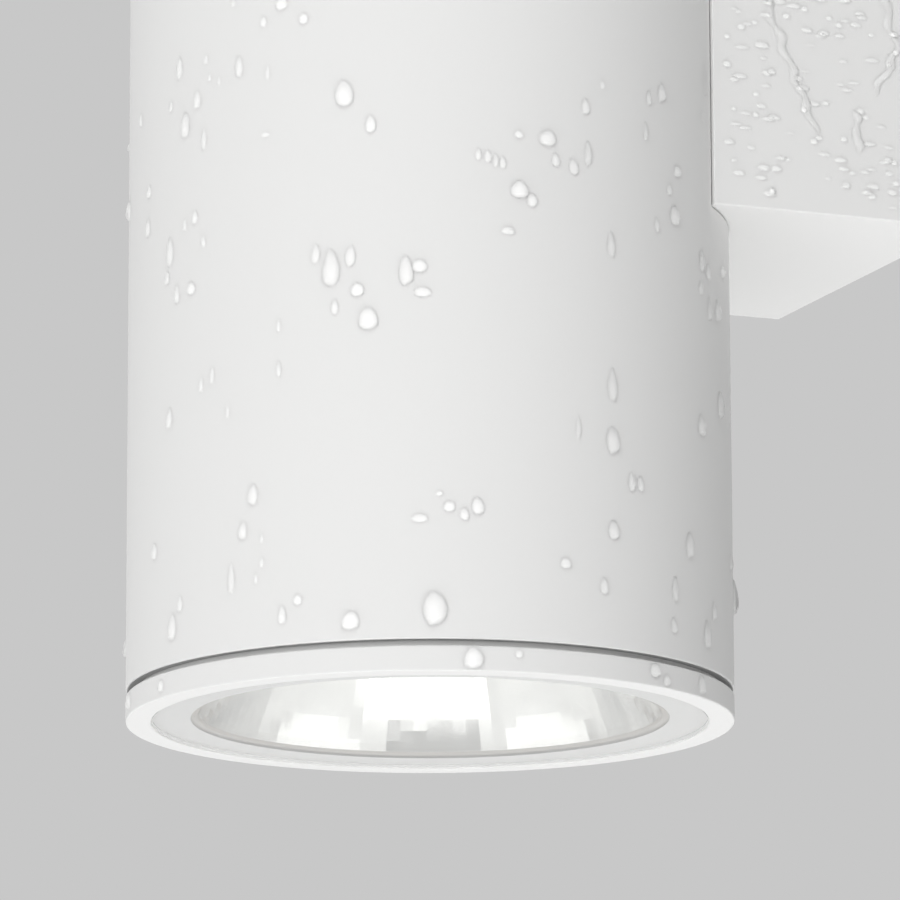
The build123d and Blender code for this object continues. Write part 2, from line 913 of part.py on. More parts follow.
def heat_sink():
    """Round plate with parallel fins, a channel for the leads and holes for its screws."""
    plate_radius = bore_radius - sink_clearance
    sink = rod(plate_radius, sink_height, lug_seat_height)
    fin_top = lug_seat_height + fin_height
    field = rod(fin_field_radius, lug_seat_height, fin_top)
    for index in range(fin_pairs):
        near = fin_centre_gap / 2 + index * fin_pitch
        fin = block(
            (near, near + fin_thickness),
            (-fin_field_radius, fin_field_radius),
            (lug_seat_height, fin_top),
        )
        sink += (fin & field) + (mirror(fin, about=Plane.YZ) & field)
    for angle in lug_angles:
        hole = rod(sink_screw[0] + hole_clearance, sink_height, lug_seat_height, x=lug_circle)
        sink -= Rot(0, 0, angle) * hole
    tapped_end = sink_height + holder_screw_length - holder_thickness + thread_clearance
    for x in (-holder_screw_circle, holder_screw_circle):
        sink -= rod(sink_screw[0] + thread_clearance, sink_height, tapped_end, x)
    return sink - rod(led_lead_hole_radius, sink_height, lug_seat_height, y=lead_hole_offset)


def sink_screws():
    """Three screws through the heat sink into the lugs of the tube."""
    screw = Rot(180, 0, 0) * pan_screw(sink_screw, sink_screw_length)
    at_lug = Pos(lug_circle, 0, sink_height) * screw
    return as_group([Rot(0, 0, angle) * at_lug for angle in lug_angles])


def lower_led_leads():
    """Two leads from the driver, down between the fins, to the lower LED holder."""
    end = sink_height - lamp_half
    routes = [
        [
            (x, driver_face_y, -led_lead_height),
            (x, lead_drop_y, -led_lead_height),
            (x, lead_drop_y, end),
        ]
        for x in (-lead_spacing / 2, lead_spacing / 2)
    ]
    return as_group([lead(route, led_lead_radius) for route in routes])


engine_pieces = {
    "end_ring": end_ring,
    "front_glass": front_glass,
    "glass_border": glass_border,
    "glass_seal": glass_seal,
    "o_ring": o_ring,
    "reflector": reflector,
    "led_board": led_board,
    "led_emitter": led_emitter,
    "led_holder": led_holder,
    "holder_screws": holder_screws,
    "heat_sink": heat_sink,
    "sink_screws": sink_screws,
}

single_pieces = {
    "lamp_body": lamp_body,
    "wall_box": wall_box,
    "arm_gasket": arm_gasket,
    "arm_screws": arm_screws,
    "lead_grommet": lead_grommet,
    "wall_gasket": wall_gasket,
    "wall_bracket": wall_bracket,
    "side_screws": side_screws,
    "cable_grommet": cable_grommet,
    "terminal_block": terminal_block,
    "terminal_screws": terminal_screws,
    "terminal_fixings": terminal_fixings,
    "earth_tag": earth_tag,
    "earth_screw": earth_screw,
    "earth_lead": earth_lead,
    "supply_leads": supply_leads,
    "led_driver": led_driver,
    "driver_screws": driver_screws,
}

os.makedirs("parts", exist_ok=True)
for name, make in single_pieces.items():
    export_step(make(), f"parts/{name}.step")
for name, make in engine_pieces.items():
    piece = make()
    export_step(at_lower_end(piece), f"parts/lower_{name}.step")
    export_step(at_upper_end(piece), f"parts/upper_{name}.step")
leads = lower_led_leads()
export_step(leads, "parts/lower_led_leads.step")
export_step(Rot(0, 180, 0) * leads, "parts/upper_led_leads.step")
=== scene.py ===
"""The looks of an outdoor wall light: a round white tube that shines up and down through flush
glass, held off the wall by a square box, and wet from rain.

Every length is in metres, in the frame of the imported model: the origin is the centre of the face
on the wall, +Y goes into the wall and +Z is up. A light end's pieces are made in the end's own
frame, with its face at height 0 and the lamp above it, and are then placed at either end.
"""

import logging
import math
import random
from dataclasses import dataclass, field
from enum import Enum
from typing import Iterable, Sequence

import bmesh
import bpy
from bmesh.types import BMEdge, BMesh, BMFace, BMVert
from bpy.types import Material, Node, NodeSocket, NodeTree
from mathutils import Matrix, Quaternion, Vector


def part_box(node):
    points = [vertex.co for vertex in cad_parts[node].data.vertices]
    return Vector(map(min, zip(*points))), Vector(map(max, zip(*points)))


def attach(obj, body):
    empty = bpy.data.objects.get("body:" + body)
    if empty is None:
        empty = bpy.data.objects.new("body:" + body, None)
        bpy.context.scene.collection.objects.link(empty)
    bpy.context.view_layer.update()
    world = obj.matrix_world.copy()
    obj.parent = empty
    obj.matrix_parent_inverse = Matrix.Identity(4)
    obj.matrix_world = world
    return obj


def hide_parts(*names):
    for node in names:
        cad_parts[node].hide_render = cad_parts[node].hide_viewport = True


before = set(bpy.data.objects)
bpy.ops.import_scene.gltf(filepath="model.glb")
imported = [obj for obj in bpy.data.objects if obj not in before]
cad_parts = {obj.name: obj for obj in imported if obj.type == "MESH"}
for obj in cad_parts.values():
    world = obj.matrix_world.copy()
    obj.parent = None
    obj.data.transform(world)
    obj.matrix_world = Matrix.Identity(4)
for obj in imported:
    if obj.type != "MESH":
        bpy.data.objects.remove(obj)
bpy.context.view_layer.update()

MM = 0.001
TOUCH = 0.01 * MM  # two places nearer than this are the same place
FULL_TURN = 2 * math.pi
ROUGHNESS_SWING = 4  # how much more a grain moves the roughness than the colour
# Rays that look at a surface, and rays that carry light to it
EYE_RAYS = ("Is Camera Ray", "Is Glossy Ray", "Is Transmission Ray")
LIGHT_RAYS = ("Is Shadow Ray", "Is Diffuse Ray")
Inputs = dict[str | int, object]  # a node's inputs, by name or number
Outline = Sequence[tuple[float, float]]  # points of (radius, height)
Between = tuple[float, float]  # the lowest and the highest value of a random draw

log = logging.getLogger("wall_light")


# Colours and nodes


def linear(hex_colour: str) -> tuple[float, float, float, float]:
    """Turns an sRGB colour such as "#C8C8C8" into linear red, green, blue and alpha.

    Args:
        hex_colour: the colour as a hash sign and six hex digits.

    Returns:
        The linear colour, opaque.
    """
    channels = [int(hex_colour[start:start + 2], 16) / 255 for start in (1, 3, 5)]
    parts = [c / 12.92 if c <= 0.04045 else ((c + 0.055) / 1.055) ** 2.4 for c in channels]
    return (*parts, 1.0)


def add_node(
    tree: NodeTree,
    kind: str,
    settings: dict[str, object] | None = None,
    inputs: Inputs | None = None,
) -> Node:
    """Adds one node with its settings, constants and links.

    Args:
        tree: the material's or the world's node tree.
        kind: the node's type, without its ShaderNode prefix.
        settings: attributes of the node.
        inputs: a constant for each input, or the output socket that feeds it.

    Returns:
        The new node.
    """
    node = tree.nodes.new("ShaderNode" + kind)
    for name, value in (settings or {}).items():
        setattr(node, name, value)
    for key, value in (inputs or {}).items():
        socket = node.inputs[key]
        if isinstance(value, NodeSocket):
            tree.links.new(value, socket)
        else:
            socket.default_value = value
    return node


def ray_is(tree: NodeTree, kinds: Sequence[str]) -> NodeSocket:
    """Makes a socket that is 1 for rays of some kinds, and else 0.

    Args:
        tree: the material's or the world's node tree.
        kinds: the kinds, as the Light Path node names them.

    Returns:
        The socket.
    """
    path = add_node(tree, "LightPath")
    found = path.outputs[kinds[0]]
    for kind in kinds[1:]:
        pair = {0: found, 1: path.outputs[kind]}
        found = add_node(tree, "Math", {"operation": "MAXIMUM"}, pair).outputs[0]
    return found


# Finishes


@dataclass(frozen=True)
class Finish:
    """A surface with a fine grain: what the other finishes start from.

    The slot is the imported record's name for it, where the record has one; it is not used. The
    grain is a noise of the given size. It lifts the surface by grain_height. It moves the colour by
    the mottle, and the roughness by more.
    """

    name: str
    slot: str
    colour: str
    roughness: float
    grain: float = 0.4 * MM
    grain_height: float = 0.002 * MM
    mottle: float = 0.02
    metallic: float = 0.0
    ior: float = 1.5

    def material(self) -> Material:
        """Returns the finish's material, made the first time it is asked for."""
        found = bpy.data.materials.get(self.name)
        if found:
            return found
        made = bpy.data.materials.new(self.name)
        made.use_nodes = True
        made.node_tree.nodes.clear()
        surface = self.surface(made.node_tree)
        add_node(made.node_tree, "OutputMaterial", inputs={"Surface": surface})
        return made

    def surface(self, tree: NodeTree) -> NodeSocket:
        """Makes the shader.

        Args:
            tree: the material's nodes.

        Returns:
            The socket that goes to the material's surface.
        """
        inputs = {"Metallic": self.metallic, "IOR": self.ior, **self.glow(), **self.grained(tree)}
        return add_node(tree, "BsdfPrincipled", inputs=inputs).outputs["BSDF"]

    def glow(self) -> Inputs:
        """Returns the shader's inputs for light of its own, which most finishes lack."""
        return {}

    def grained(self, tree: NodeTree) -> Inputs:
        """Makes the grain that the shader's colour, roughness and normal take.

        Args:
            tree: the material's nodes.

        Returns:
            The shader's inputs and the sockets that feed them.
        """
        place = add_node(tree, "TexCoord").outputs["Object"]
        noise = {"Vector": place, "Scale": 1 / self.grain, "Detail": 2.0}
        grain = add_node(tree, "TexNoise", inputs=noise).outputs["Fac"]
        base = linear(self.colour)
        dark, light = ([c * (1 + way * self.mottle) for c in base[:3]] + [1] for way in (-1, 1))
        shades = {"Factor": grain, "A": dark, "B": light}
        swing = ROUGHNESS_SWING * self.mottle * self.roughness
        smooth, rough = self.roughness - swing, self.roughness + swing
        spread = {"Value": grain, "To Min": smooth, "To Max": rough}
        relief = {"Height": grain, "Distance": self.grain_height}
        return {
            "Base Color": add_node(tree, "Mix", {"data_type": "RGBA"}, shades).outputs["Result"],
            "Roughness": add_node(tree, "MapRange", inputs=spread).outputs["Result"],
            "Normal": add_node(tree, "Bump", inputs=relief).outputs["Normal"],
        }


@dataclass(frozen=True)
class Glowing(Finish):
    """A surface that gives light of its own."""

    light: str = "#FFF4E0"
    strength: float = 6.0

    def glow(self) -> Inputs:
        """Returns the shader's inputs for its light."""
        return {"Emission Color": linear(self.light), "Emission Strength": self.strength}


@dataclass(frozen=True)
class Clear(Finish):
    """A clear body, such as glass or water, that lets light through to what is under it."""

    def surface(self, tree: NodeTree) -> NodeSocket:
        """Makes the shader: clear for what looks through it, open for the light of the lamps.

        Args:
            tree: the material's nodes.

        Returns:
            The socket that goes to the material's surface.
        """
        clear = {
            "Base Color": linear(self.colour),
            "Roughness": self.roughness,
            "IOR": self.ior,
            "Transmission Weight": 1.0,
        }
        body = add_node(tree, "BsdfPrincipled", inputs=clear).outputs[0]
        way = add_node(tree, "BsdfTransparent", inputs={"Color": self.passed(tree)}).outputs[0]
        choice = {0: ray_is(tree, LIGHT_RAYS), 1: body, 2: way}
        return add_node(tree, "MixShader", inputs=choice).outputs[0]

    def passed(self, tree: NodeTree) -> object:
        """Returns the colour of the lamps' light that comes through the body."""
        return linear("#FFFFFF")


@dataclass(frozen=True)
class Water(Clear):
    """Water in drops, which gather light under their middle and keep it from their rim."""

    gathered: float = 1.32
    kept_out: float = 0.0

    def passed(self, tree: NodeTree) -> NodeSocket:
        """Makes the colour of the lamps' light that comes through the drop's skin.

        Args:
            tree: the material's nodes.

        Returns:
            The colour, brighter where the skin faces the lamp.
        """
        aslant = add_node(tree, "LayerWeight", inputs={"Blend": 0.5}).outputs["Facing"]
        share = {"Value": aslant, "To Min": self.gathered, "To Max": self.kept_out}
        return add_node(tree, "MapRange", inputs=share).outputs["Result"]


@dataclass(frozen=True)
class SelfLit(Finish):
    """A stage surface that gives most of its brightness itself, and the rest by the lamps."""

    own_light: float = 0.75

    def surface(self, tree: NodeTree) -> NodeSocket:
        """Makes the shader, with light of its own only for rays that look at it.

        Args:
            tree: the material's nodes.

        Returns:
            The socket that goes to the material's surface.
        """
        colour = linear(self.colour)
        paint = add_node(tree, "BsdfDiffuse", inputs={"Color": colour}).outputs[0]
        own = add_node(tree, "Emission", inputs={"Color": colour, "Strength": self.own_light})
        both = add_node(tree, "AddShader", inputs={0: paint, 1: own.outputs[0]}).outputs[0]
        choice = {0: ray_is(tree, EYE_RAYS), 1: paint, 2: both}
        return add_node(tree, "MixShader", inputs=choice).outputs[0]


# Satin polyester powder coat: an even white, with an orange peel too fine to see as bumps
POWDER_COAT = Finish(
    "satin powder coat", "white_powder_coat", "#F1F1F0", 0.62, 0.35 * MM, 0.0012 * MM, 0.008
)
# Enamel fired on glass: dense and smooth, a little greyer than the paint
ENAMEL = Finish("fired-on enamel", "white_enamel", "#EEEEED", 0.3, 1.5 * MM, 0.0005 * MM, 0.004)
# Moulded silicone rubber: black and dull
RUBBER = Finish("moulded rubber", "black_rubber", "#141414", 0.75, 0.5 * MM, 0.01 * MM, 0.1)
# Tempered float glass: clear and all but colourless, with a polished face
GLASS = Clear("tempered glass", "clear_glass", "#FEFFFE", 0.0, ior=1.5)
# Vacuum-metallised plastic: a bright mirror, a little soft
MIRROR = Finish(
    "vacuum-metallised facets", "metallised_reflector", "#F4F3F1", 0.07, 0.35 * MM, 0.0008 * MM,
    0.004, metallic=1.0
)
# Painted shade: the tube's end and the ring's top face each other across the groove, and are
# painted grey so that the groove looks dark
GROOVE_SHADE = Finish(
    "painted groove shade", "white_powder_coat", "#B6B6B6", 0.6, 0.4 * MM, 0.001 * MM, 0.02
)
# Bare moulding at the reflector's lip, where the metal stops: warm grey
LIP = Finish(
    "bare reflector lip", "metallised_reflector", "#CFC9C2", 0.5, 0.5 * MM, 0.001 * MM, 0.01
)
# LED phosphor under clear silicone, lit
PHOSPHOR = Glowing("lit phosphor gel", "phosphor", "#F6D46A", 0.35, 0.3 * MM, 0.004 * MM, 0.03)
# Ceramic board under white solder resist
BOARD = Finish("ceramic board", "board_ceramic", "#E6E6E0", 0.4, 0.2 * MM, 0.001 * MM, 0.02)
# Moulded heat-proof plastic: dull white with a spark-eroded grain
HOLDER = Finish("moulded holder", "holder_plastic", "#DCDCD8", 0.5, 0.25 * MM, 0.006 * MM, 0.02)
# Die-cast aluminium, bare: grey, with the slight flow marks of the casting
CASTING = Finish(
    "die-cast aluminium", "bare_aluminium", "#B9BBBD", 0.45, 1.2 * MM, 0.01 * MM, 0.06, metallic=1.0
)
# Zinc plate on pressed steel: bluish grey with a faint spangle
ZINC = Finish(
    "zinc-plated steel", "zinc_steel", "#B4B9BF", 0.36, 2.0 * MM, 0.003 * MM, 0.08, metallic=1.0
)
# Stainless screws, turned: bright, with tool marks so fine that they read as a grain
STAINLESS = Finish(
    "turned stainless steel", "stainless", "#C6C6C4", 0.28, 0.15 * MM, 0.002 * MM, 0.05,
    metallic=1.0
)
# Brass, bright with a light tarnish
BRASS = Finish("bright brass", "brass", "#C8A458", 0.3, 0.8 * MM, 0.002 * MM, 0.06, metallic=1.0)
# Driver's moulded case: off-white and dull
DRIVER_CASE = Finish("moulded case", "driver_case", "#D6D6D2", 0.55, 0.4 * MM, 0.008 * MM, 0.02)
# Natural polyamide of the terminal block
POLYAMIDE = Finish("polyamide", "terminal_plastic", "#E4E3DA", 0.42, 0.3 * MM, 0.004 * MM, 0.02)
# Silicone insulation of the leads
SILICONE = Finish(
    "silicone insulation", "lead_silicone", "#C9C9C7", 0.5, 0.6 * MM, 0.004 * MM, 0.03
)
# Green insulation of the earth lead
EARTH = Finish("green insulation", "earth_insulation", "#5E9C2C", 0.45, 0.6 * MM, 0.004 * MM, 0.04)
# Studio floor: pale and matt, as bright as the backdrop wherever it is seen
FLOOR = SelfLit("matt floor paint", "", "#C8C8C8", 0.9)
# Rain: clear water, with light under the middle of a drop and shade under its rim
WATER = Water("rain water", "", "#FFFFFF", 0.0, ior=1.33)

NODE_FINISHES: dict[Finish, Sequence[str]] = {
    POWDER_COAT: ["wall_box"],
    RUBBER: ["arm_gasket", "lead_grommet", "wall_gasket", "cable_grommet"],
    STAINLESS: ["arm_screws", "side_screws"],
    ZINC: ["wall_bracket", "terminal_screws", "terminal_fixings", "driver_screws"],
    POLYAMIDE: ["terminal_block"],
    BRASS: ["earth_tag", "earth_screw"],
    EARTH: ["earth_lead"],
    SILICONE: ["supply_leads"],
    DRIVER_CASE: ["led_driver"],
}
END_FINISHES: dict[Finish, Sequence[str]] = {
    RUBBER: ["glass_seal"],
    BOARD: ["led_board"],
    HOLDER: ["led_holder"],
    STAINLESS: ["holder_screws", "sink_screws"],
    CASTING: ["heat_sink"],
    SILICONE: ["led_leads"],
}


def dress(finish: Finish, nodes: Iterable[str]) -> None:
    """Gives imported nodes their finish.

    Args:
        finish: the finish for all their faces.
        nodes: the nodes' names.
    """
    for node in nodes:
        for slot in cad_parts[node].material_slots:
            slot.material = finish.material()
        log.info("%s: %s", node, finish.name)


# Mesh helpers


def outlined(outline: Outline) -> BMesh:
    """Makes a mesh of one closed outline that stands on the XZ plane.

    Args:
        outline: its points.

    Returns:
        The mesh, which has no faces yet.
    """
    mesh = bmesh.new()
    verts = [mesh.verts.new((radius, 0, height)) for radius, height in outline]
    for pair in zip(verts, verts[1:] + verts[:1]):
        mesh.edges.new(pair)
    return mesh


def spun(mesh: BMesh, steps: int, turn: float = FULL_TURN, climb: float = 0.0) -> None:
    """Sweeps all that a mesh holds about the Z axis.

    Args:
        mesh: the mesh, which holds the section.
        steps: how many steps make the sweep.
        turn: the sweep's whole angle.
        climb: how far each step rises.
    """
    bmesh.ops.spin(
        mesh,
        geom=mesh.verts[:] + mesh.edges[:],
        cent=(0, 0, 0),
        axis=(0, 0, 1),
        dvec=(0, 0, climb),
        angle=turn,
        steps=steps,
        use_merge=turn == FULL_TURN and not climb,
    )


def turned(outline: Outline, steps: int) -> BMesh:
    """Turns a closed outline about the Z axis.

    Args:
        outline: its points.
        steps: how many steps make the full turn.

    Returns:
        A closed mesh whose faces point outwards.
    """
    mesh = outlined(outline)
    spun(mesh, steps)
    bmesh.ops.remove_doubles(mesh, verts=mesh.verts, dist=TOUCH / 10)
    bmesh.ops.recalc_face_normals(mesh, faces=mesh.faces)
    return mesh


def rounded(mesh: BMesh, edges: Iterable[BMEdge], radius: float) -> None:
    """Rounds edges off.

    Args:
        mesh: the mesh that holds them.
        edges: the edges.
        radius: how far from the edge the rounding starts.
    """
    bmesh.ops.bevel(
        mesh,
        geom=list(edges),
        offset=radius,
        offset_type="OFFSET",
        affect="EDGES",
        segments=3,
        profile=0.5,
        material=-1,
    )


def rim_edges(mesh: BMesh, radius: float, height: float) -> list[BMEdge]:
    """Finds the edges of one circle about the Z axis.

    Args:
        mesh: the mesh to look in.
        radius: the circle's radius.
        height: the circle's height.

    Returns:
        The circle's edges.
    """
    return [
        edge
        for edge in mesh.edges
        if all(
            abs(vert.co.z - height) < TOUCH and abs(vert.co.xy.length - radius) < TOUCH
            for vert in edge.verts
        )
    ]


def skinned(mesh: BMesh, loops: Sequence[Sequence[BMVert]]) -> None:
    """Joins each closed loop of vertices to the next with a band of faces.

    Args:
        mesh: the mesh that holds them.
        loops: the loops, with as many vertices each.
    """
    for near, far in zip(loops, loops[1:]):
        for side in range(len(near)):
            mesh.faces.new((near[side - 1], near[side], far[side], far[side - 1]))


def join(into: BMesh, other: BMesh) -> None:
    """Adds a copy of another mesh to a mesh, and frees the other.

    Args:
        into: the mesh that grows.
        other: the mesh that is added.
    """
    data = bpy.data.meshes.new("joined")
    other.to_mesh(data)
    other.free()
    into.from_mesh(data)
    bpy.data.meshes.remove(data)


def piece(
    name: str,
    mesh: BMesh,
    finishes: Sequence[Finish],
    body: str,
    replaces: Sequence[str] = (),
    place: Matrix | None = None,
    sharp_from: float = 40.0,
    even: bool = True,
) -> None:
    """Makes a finished object from a mesh, at the origin with its place in its mesh.

    Args:
        name: the object's name.
        mesh: its mesh, which is freed.
        finishes: the finishes that its faces' material numbers stand for.
        body: the body that it rides on.
        replaces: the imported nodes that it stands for.
        place: where the mesh goes, or None where it already lies in the row frame.
        sharp_from: the angle in degrees from which an edge stays sharp.
        even: whether large faces keep their own direction beside a rounding.
    """
    if place is not None:
        bmesh.ops.transform(mesh, matrix=place, verts=mesh.verts)
    bmesh.ops.recalc_face_normals(mesh, faces=mesh.faces)
    for face in mesh.faces:
        face.smooth = True
    for edge in mesh.edges:
        edge.smooth = edge.calc_face_angle(0.0) < math.radians(sharp_from)
    data = bpy.data.meshes.new(name)
    mesh.to_mesh(data)
    mesh.free()
    for finish in finishes:
        data.materials.append(finish.material())
    made = bpy.data.objects.new(name, data)
    bpy.context.scene.collection.objects.link(made)
    if even:
        made.modifiers.new("even normals", "WEIGHTED_NORMAL").keep_sharp = True
    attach(made, body)
    if replaces:
        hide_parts(*replaces)
    log.info("%s: %d faces on %s", name, len(data.polygons), body)


# Sizes that several sub-assemblies share


@dataclass(frozen=True)
class LampSizes:
    """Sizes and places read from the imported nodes, and the wall that tube and rings share."""

    axis_y: float
    radius: float
    lamp_half: float
    tube_half: float
    flat_y: float
    box_side_x: float
    pocket_half: float
    wall: float = 3.0 * MM
    mouth_lip: float = 1.5 * MM

    @classmethod
    def measured(cls) -> "LampSizes":
        """Reads the sizes from the frame."""
        ring_low, ring_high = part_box("lower_end_ring")
        box_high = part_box("wall_box")[1]
        pocket_clearance = 0.15 * MM
        return cls(
            axis_y=(ring_low.y + ring_high.y) / 2,
            radius=(ring_high.x - ring_low.x) / 2,
            lamp_half=-ring_low.z,
            tube_half=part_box("lamp_body")[1].z,
            flat_y=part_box("arm_gasket")[0].y,
            box_side_x=box_high.x,
            pocket_half=box_high.z + pocket_clearance,
        )

    def span(self, box: tuple[Vector, Vector]) -> tuple[float, float, float]:
        """Measures a round node of the lower end in the end's own frame.

        Args:
            box: the lowest and the highest corner of the node's box.

        Returns:
            Its outer radius, its lowest height and its highest.
        """
        low, high = box
        return (high.x - low.x) / 2, low.z + self.lamp_half, high.z + self.lamp_half


class End(Enum):
    """The lamp's two ends, which hold the same pieces."""

    LOWER = "lower"
    UPPER = "upper"

    def node(self, name: str) -> str:
        """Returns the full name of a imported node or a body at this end."""
        return f"{self.value}_{name}"

    def place(self, sizes: LampSizes) -> Matrix:
        """Returns the way from the end's own frame to the row frame."""
        lower = Matrix.Translation((0, sizes.axis_y, -sizes.lamp_half))
        return lower if self is End.LOWER else Matrix.Rotation(math.pi, 4, "Y") @ lower


# Lamp tube


@dataclass
class LampTube:
    """The white tube with its pocket for the wall box."""

    sizes: LampSizes
    mouth_depth: float = 3.0 * MM
    edge_radius: float = 0.25 * MM
    pocket_edge_radius: float = 0.1 * MM
    corner_angle: float = 50.0  # in degrees: what bends more is a corner
    steps: int = 256
    lug_radius: float = 4.2 * MM
    lug_height: float = 8.0 * MM
    lug_foot: float = 49.0 * MM
    lug_inset: float = 4.0 * MM
    lug_angles: tuple[float, ...] = (30.0, 150.0, 270.0)
    lug_steps: int = 32

    def build(self) -> None:
        """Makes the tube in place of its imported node."""
        mesh = self.skin()
        bmesh.ops.solidify(mesh, geom=mesh.faces[:], thickness=self.sizes.wall)
        self.counterbore(mesh)
        bmesh.ops.recalc_face_normals(mesh, faces=mesh.faces)
        rounded(mesh, self.outer_corners(mesh, ends=True), self.edge_radius)
        rounded(mesh, self.outer_corners(mesh, ends=False), self.pocket_edge_radius)
        for face in mesh.faces:
            # The tube's end faces, in the groove, take the painted grey shade
            at_end = all(self.at_end(vert) for vert in face.verts)
            # Black on the pocket's faces: under the gasket on the flat, and painted shade in the
            # seam round the wall box at the shelves
            in_pocket = all(self.in_pocket(vert) for vert in face.verts)
            face.material_index = 1 if at_end else 2 if in_pocket else 0
        for end in End:
            join(mesh, self.lugs(end))
        piece("lamp_tube", mesh, [POWDER_COAT, GROOVE_SHADE, RUBBER], "lamp", ["lamp_body"])

    def skin(self) -> BMesh:
        """Makes the outer skin, open at both ends.

        Returns:
            The skin, with the flat and the two shelves of the pocket.
        """
        sizes = self.sizes
        mesh = bmesh.new()
        bmesh.ops.create_cone(
            mesh,
            segments=self.steps,
            radius1=sizes.radius,
            radius2=sizes.radius,
            depth=2 * sizes.tube_half,
        )
        bmesh.ops.translate(mesh, verts=mesh.verts, vec=(0, sizes.axis_y, 0))
        for height in (-sizes.pocket_half, sizes.pocket_half):
            cut = mesh.verts[:] + mesh.edges[:] + mesh.faces[:]
            bmesh.ops.bisect_plane(mesh, geom=cut, plane_co=(0, 0, height), plane_no=(0, 0, 1))
        faces = self.between_shelves(mesh)
        cut = list({part for face in faces for part in (face, *face.edges, *face.verts)})
        bmesh.ops.bisect_plane(mesh, geom=cut, plane_co=(0, sizes.flat_y, 0), plane_no=(0, 1, 0))
        faces = self.between_shelves(mesh)
        beyond = [face for face in faces if face.calc_center_median().y > sizes.flat_y]
        bmesh.ops.delete(mesh, geom=beyond, context="FACES")
        self.close_pocket(mesh)
        return mesh

    def between_shelves(self, mesh: BMesh) -> list[BMFace]:
        """Returns the faces at the heights of the pocket."""
        limit = self.sizes.pocket_half
        return [face for face in mesh.faces if abs(face.calc_center_median().z) < limit]

    def close_pocket(self, mesh: BMesh) -> None:
        """Fills the pocket's opening with the flat and two shelves.

        Args:
            mesh: the open skin.
        """
        limit = self.sizes.pocket_half
        border = [
            edge
            for edge in mesh.edges
            if edge.is_boundary and all(abs(vert.co.z) < limit + TOUCH for vert in edge.verts)
        ]
        corners = {vert for edge in border for vert in edge.verts if self.on_flat(vert)}
        chords = []
        for height in (-limit, limit):
            chord = mesh.edges.new([vert for vert in corners if abs(vert.co.z - height) < TOUCH])
            arc = [e for e in border if all(abs(v.co.z - height) < TOUCH for v in e.verts)]
            bmesh.ops.contextual_create(mesh, geom=[*arc, chord])
            chords.append(chord)
        uprights = [edge for edge in border if all(self.on_flat(v) for v in edge.verts)]
        bmesh.ops.contextual_create(mesh, geom=uprights + chords)
        bmesh.ops.recalc_face_normals(mesh, faces=mesh.faces)

    def on_flat(self, vert: BMVert) -> bool:
        """Tells whether a vertex lies on the flat that meets the wall box."""
        return abs(vert.co.y - self.sizes.flat_y) < TOUCH

    def in_pocket(self, vert: BMVert) -> bool:
        """Tells whether a vertex lies on the pocket's flat or shelves, which are painted black:
        under the gasket on the flat, and as painted shade in the seam at the shelves.
        """
        on_shelf = abs(abs(vert.co.z) - self.sizes.pocket_half) < TOUCH
        behind = vert.co.y > self.sizes.flat_y - TOUCH
        return behind and (on_shelf or self.on_flat(vert))

    def at_end(self, vert: BMVert) -> bool:
        """Tells whether a vertex lies on either end of the tube."""
        return abs(abs(vert.co.z) - self.sizes.tube_half) < TOUCH

    def axis_distance(self, vert: BMVert) -> float:
        """Returns a vertex's distance from the lamp's axis."""
        return math.hypot(vert.co.x, vert.co.y - self.sizes.axis_y)

    def counterbore(self, mesh: BMesh) -> None:
        """Steps each mouth out for the end ring's shoulder.

        The edges across each end get two more vertices. Of the four circles, the two inner ones
        sink to the step's foot, and the two new ones move to the mouth's radius.

        Args:
            mesh: the tube with its wall.
        """
        sizes = self.sizes
        half_wall = sizes.wall / 2
        across = []
        for edge in mesh.edges:
            one, other = (self.axis_distance(vert) for vert in edge.verts)
            if all(self.at_end(vert) for vert in edge.verts) and abs(one - other) > half_wall:
                across.append(edge)
        bmesh.ops.subdivide_edges(mesh, edges=across, cuts=2)
        for vert in mesh.verts:
            distance = self.axis_distance(vert)
            if not self.at_end(vert) or distance > sizes.radius - TOUCH:
                continue
            if distance < sizes.radius - half_wall:
                vert.co.z -= math.copysign(self.mouth_depth, vert.co.z)
            if distance > sizes.radius - sizes.wall + TOUCH:
                reach = (sizes.radius - sizes.mouth_lip) / distance
                vert.co.x *= reach
                vert.co.y = sizes.axis_y + (vert.co.y - sizes.axis_y) * reach

    def outer_corners(self, mesh: BMesh, ends: bool) -> list[BMEdge]:
        """Finds the edges that the paint rounds: both ends, or else the pocket's outline.

        Args:
            mesh: the tube with its wall.
            ends: whether the ends' edges are wanted.

        Returns:
            The sharp edges that lie on the tube's outside.
        """
        outside = self.sizes.radius - TOUCH
        return [
            edge
            for edge in mesh.edges
            if all(self.axis_distance(vert) > outside for vert in edge.verts)
            and edge.calc_face_angle(0.0) > math.radians(self.corner_angle)
            and ends == all(self.at_end(vert) for vert in edge.verts)
        ]

    def lugs(self, end: End) -> BMesh:
        """Makes the lugs inside the tube that carry one heat sink.

        Args:
            end: the end that they belong to.

        Returns:
            The lugs in the row frame.
        """
        circle = self.sizes.radius - self.sizes.wall - self.lug_inset
        middle = Matrix.Translation((circle, 0, self.lug_foot + self.lug_height / 2))
        mesh = bmesh.new()
        for angle in self.lug_angles:
            lug = bmesh.ops.create_cone(
                mesh,
                cap_ends=True,
                segments=self.lug_steps,
                radius1=self.lug_radius,
                radius2=self.lug_radius,
                depth=self.lug_height,
            )["verts"]
            turn = Matrix.Rotation(math.radians(angle), 4, "Z")
            bmesh.ops.transform(mesh, matrix=turn @ middle, verts=lug)
        bmesh.ops.transform(mesh, matrix=end.place(self.sizes), verts=mesh.verts)
        return mesh


# Light ends


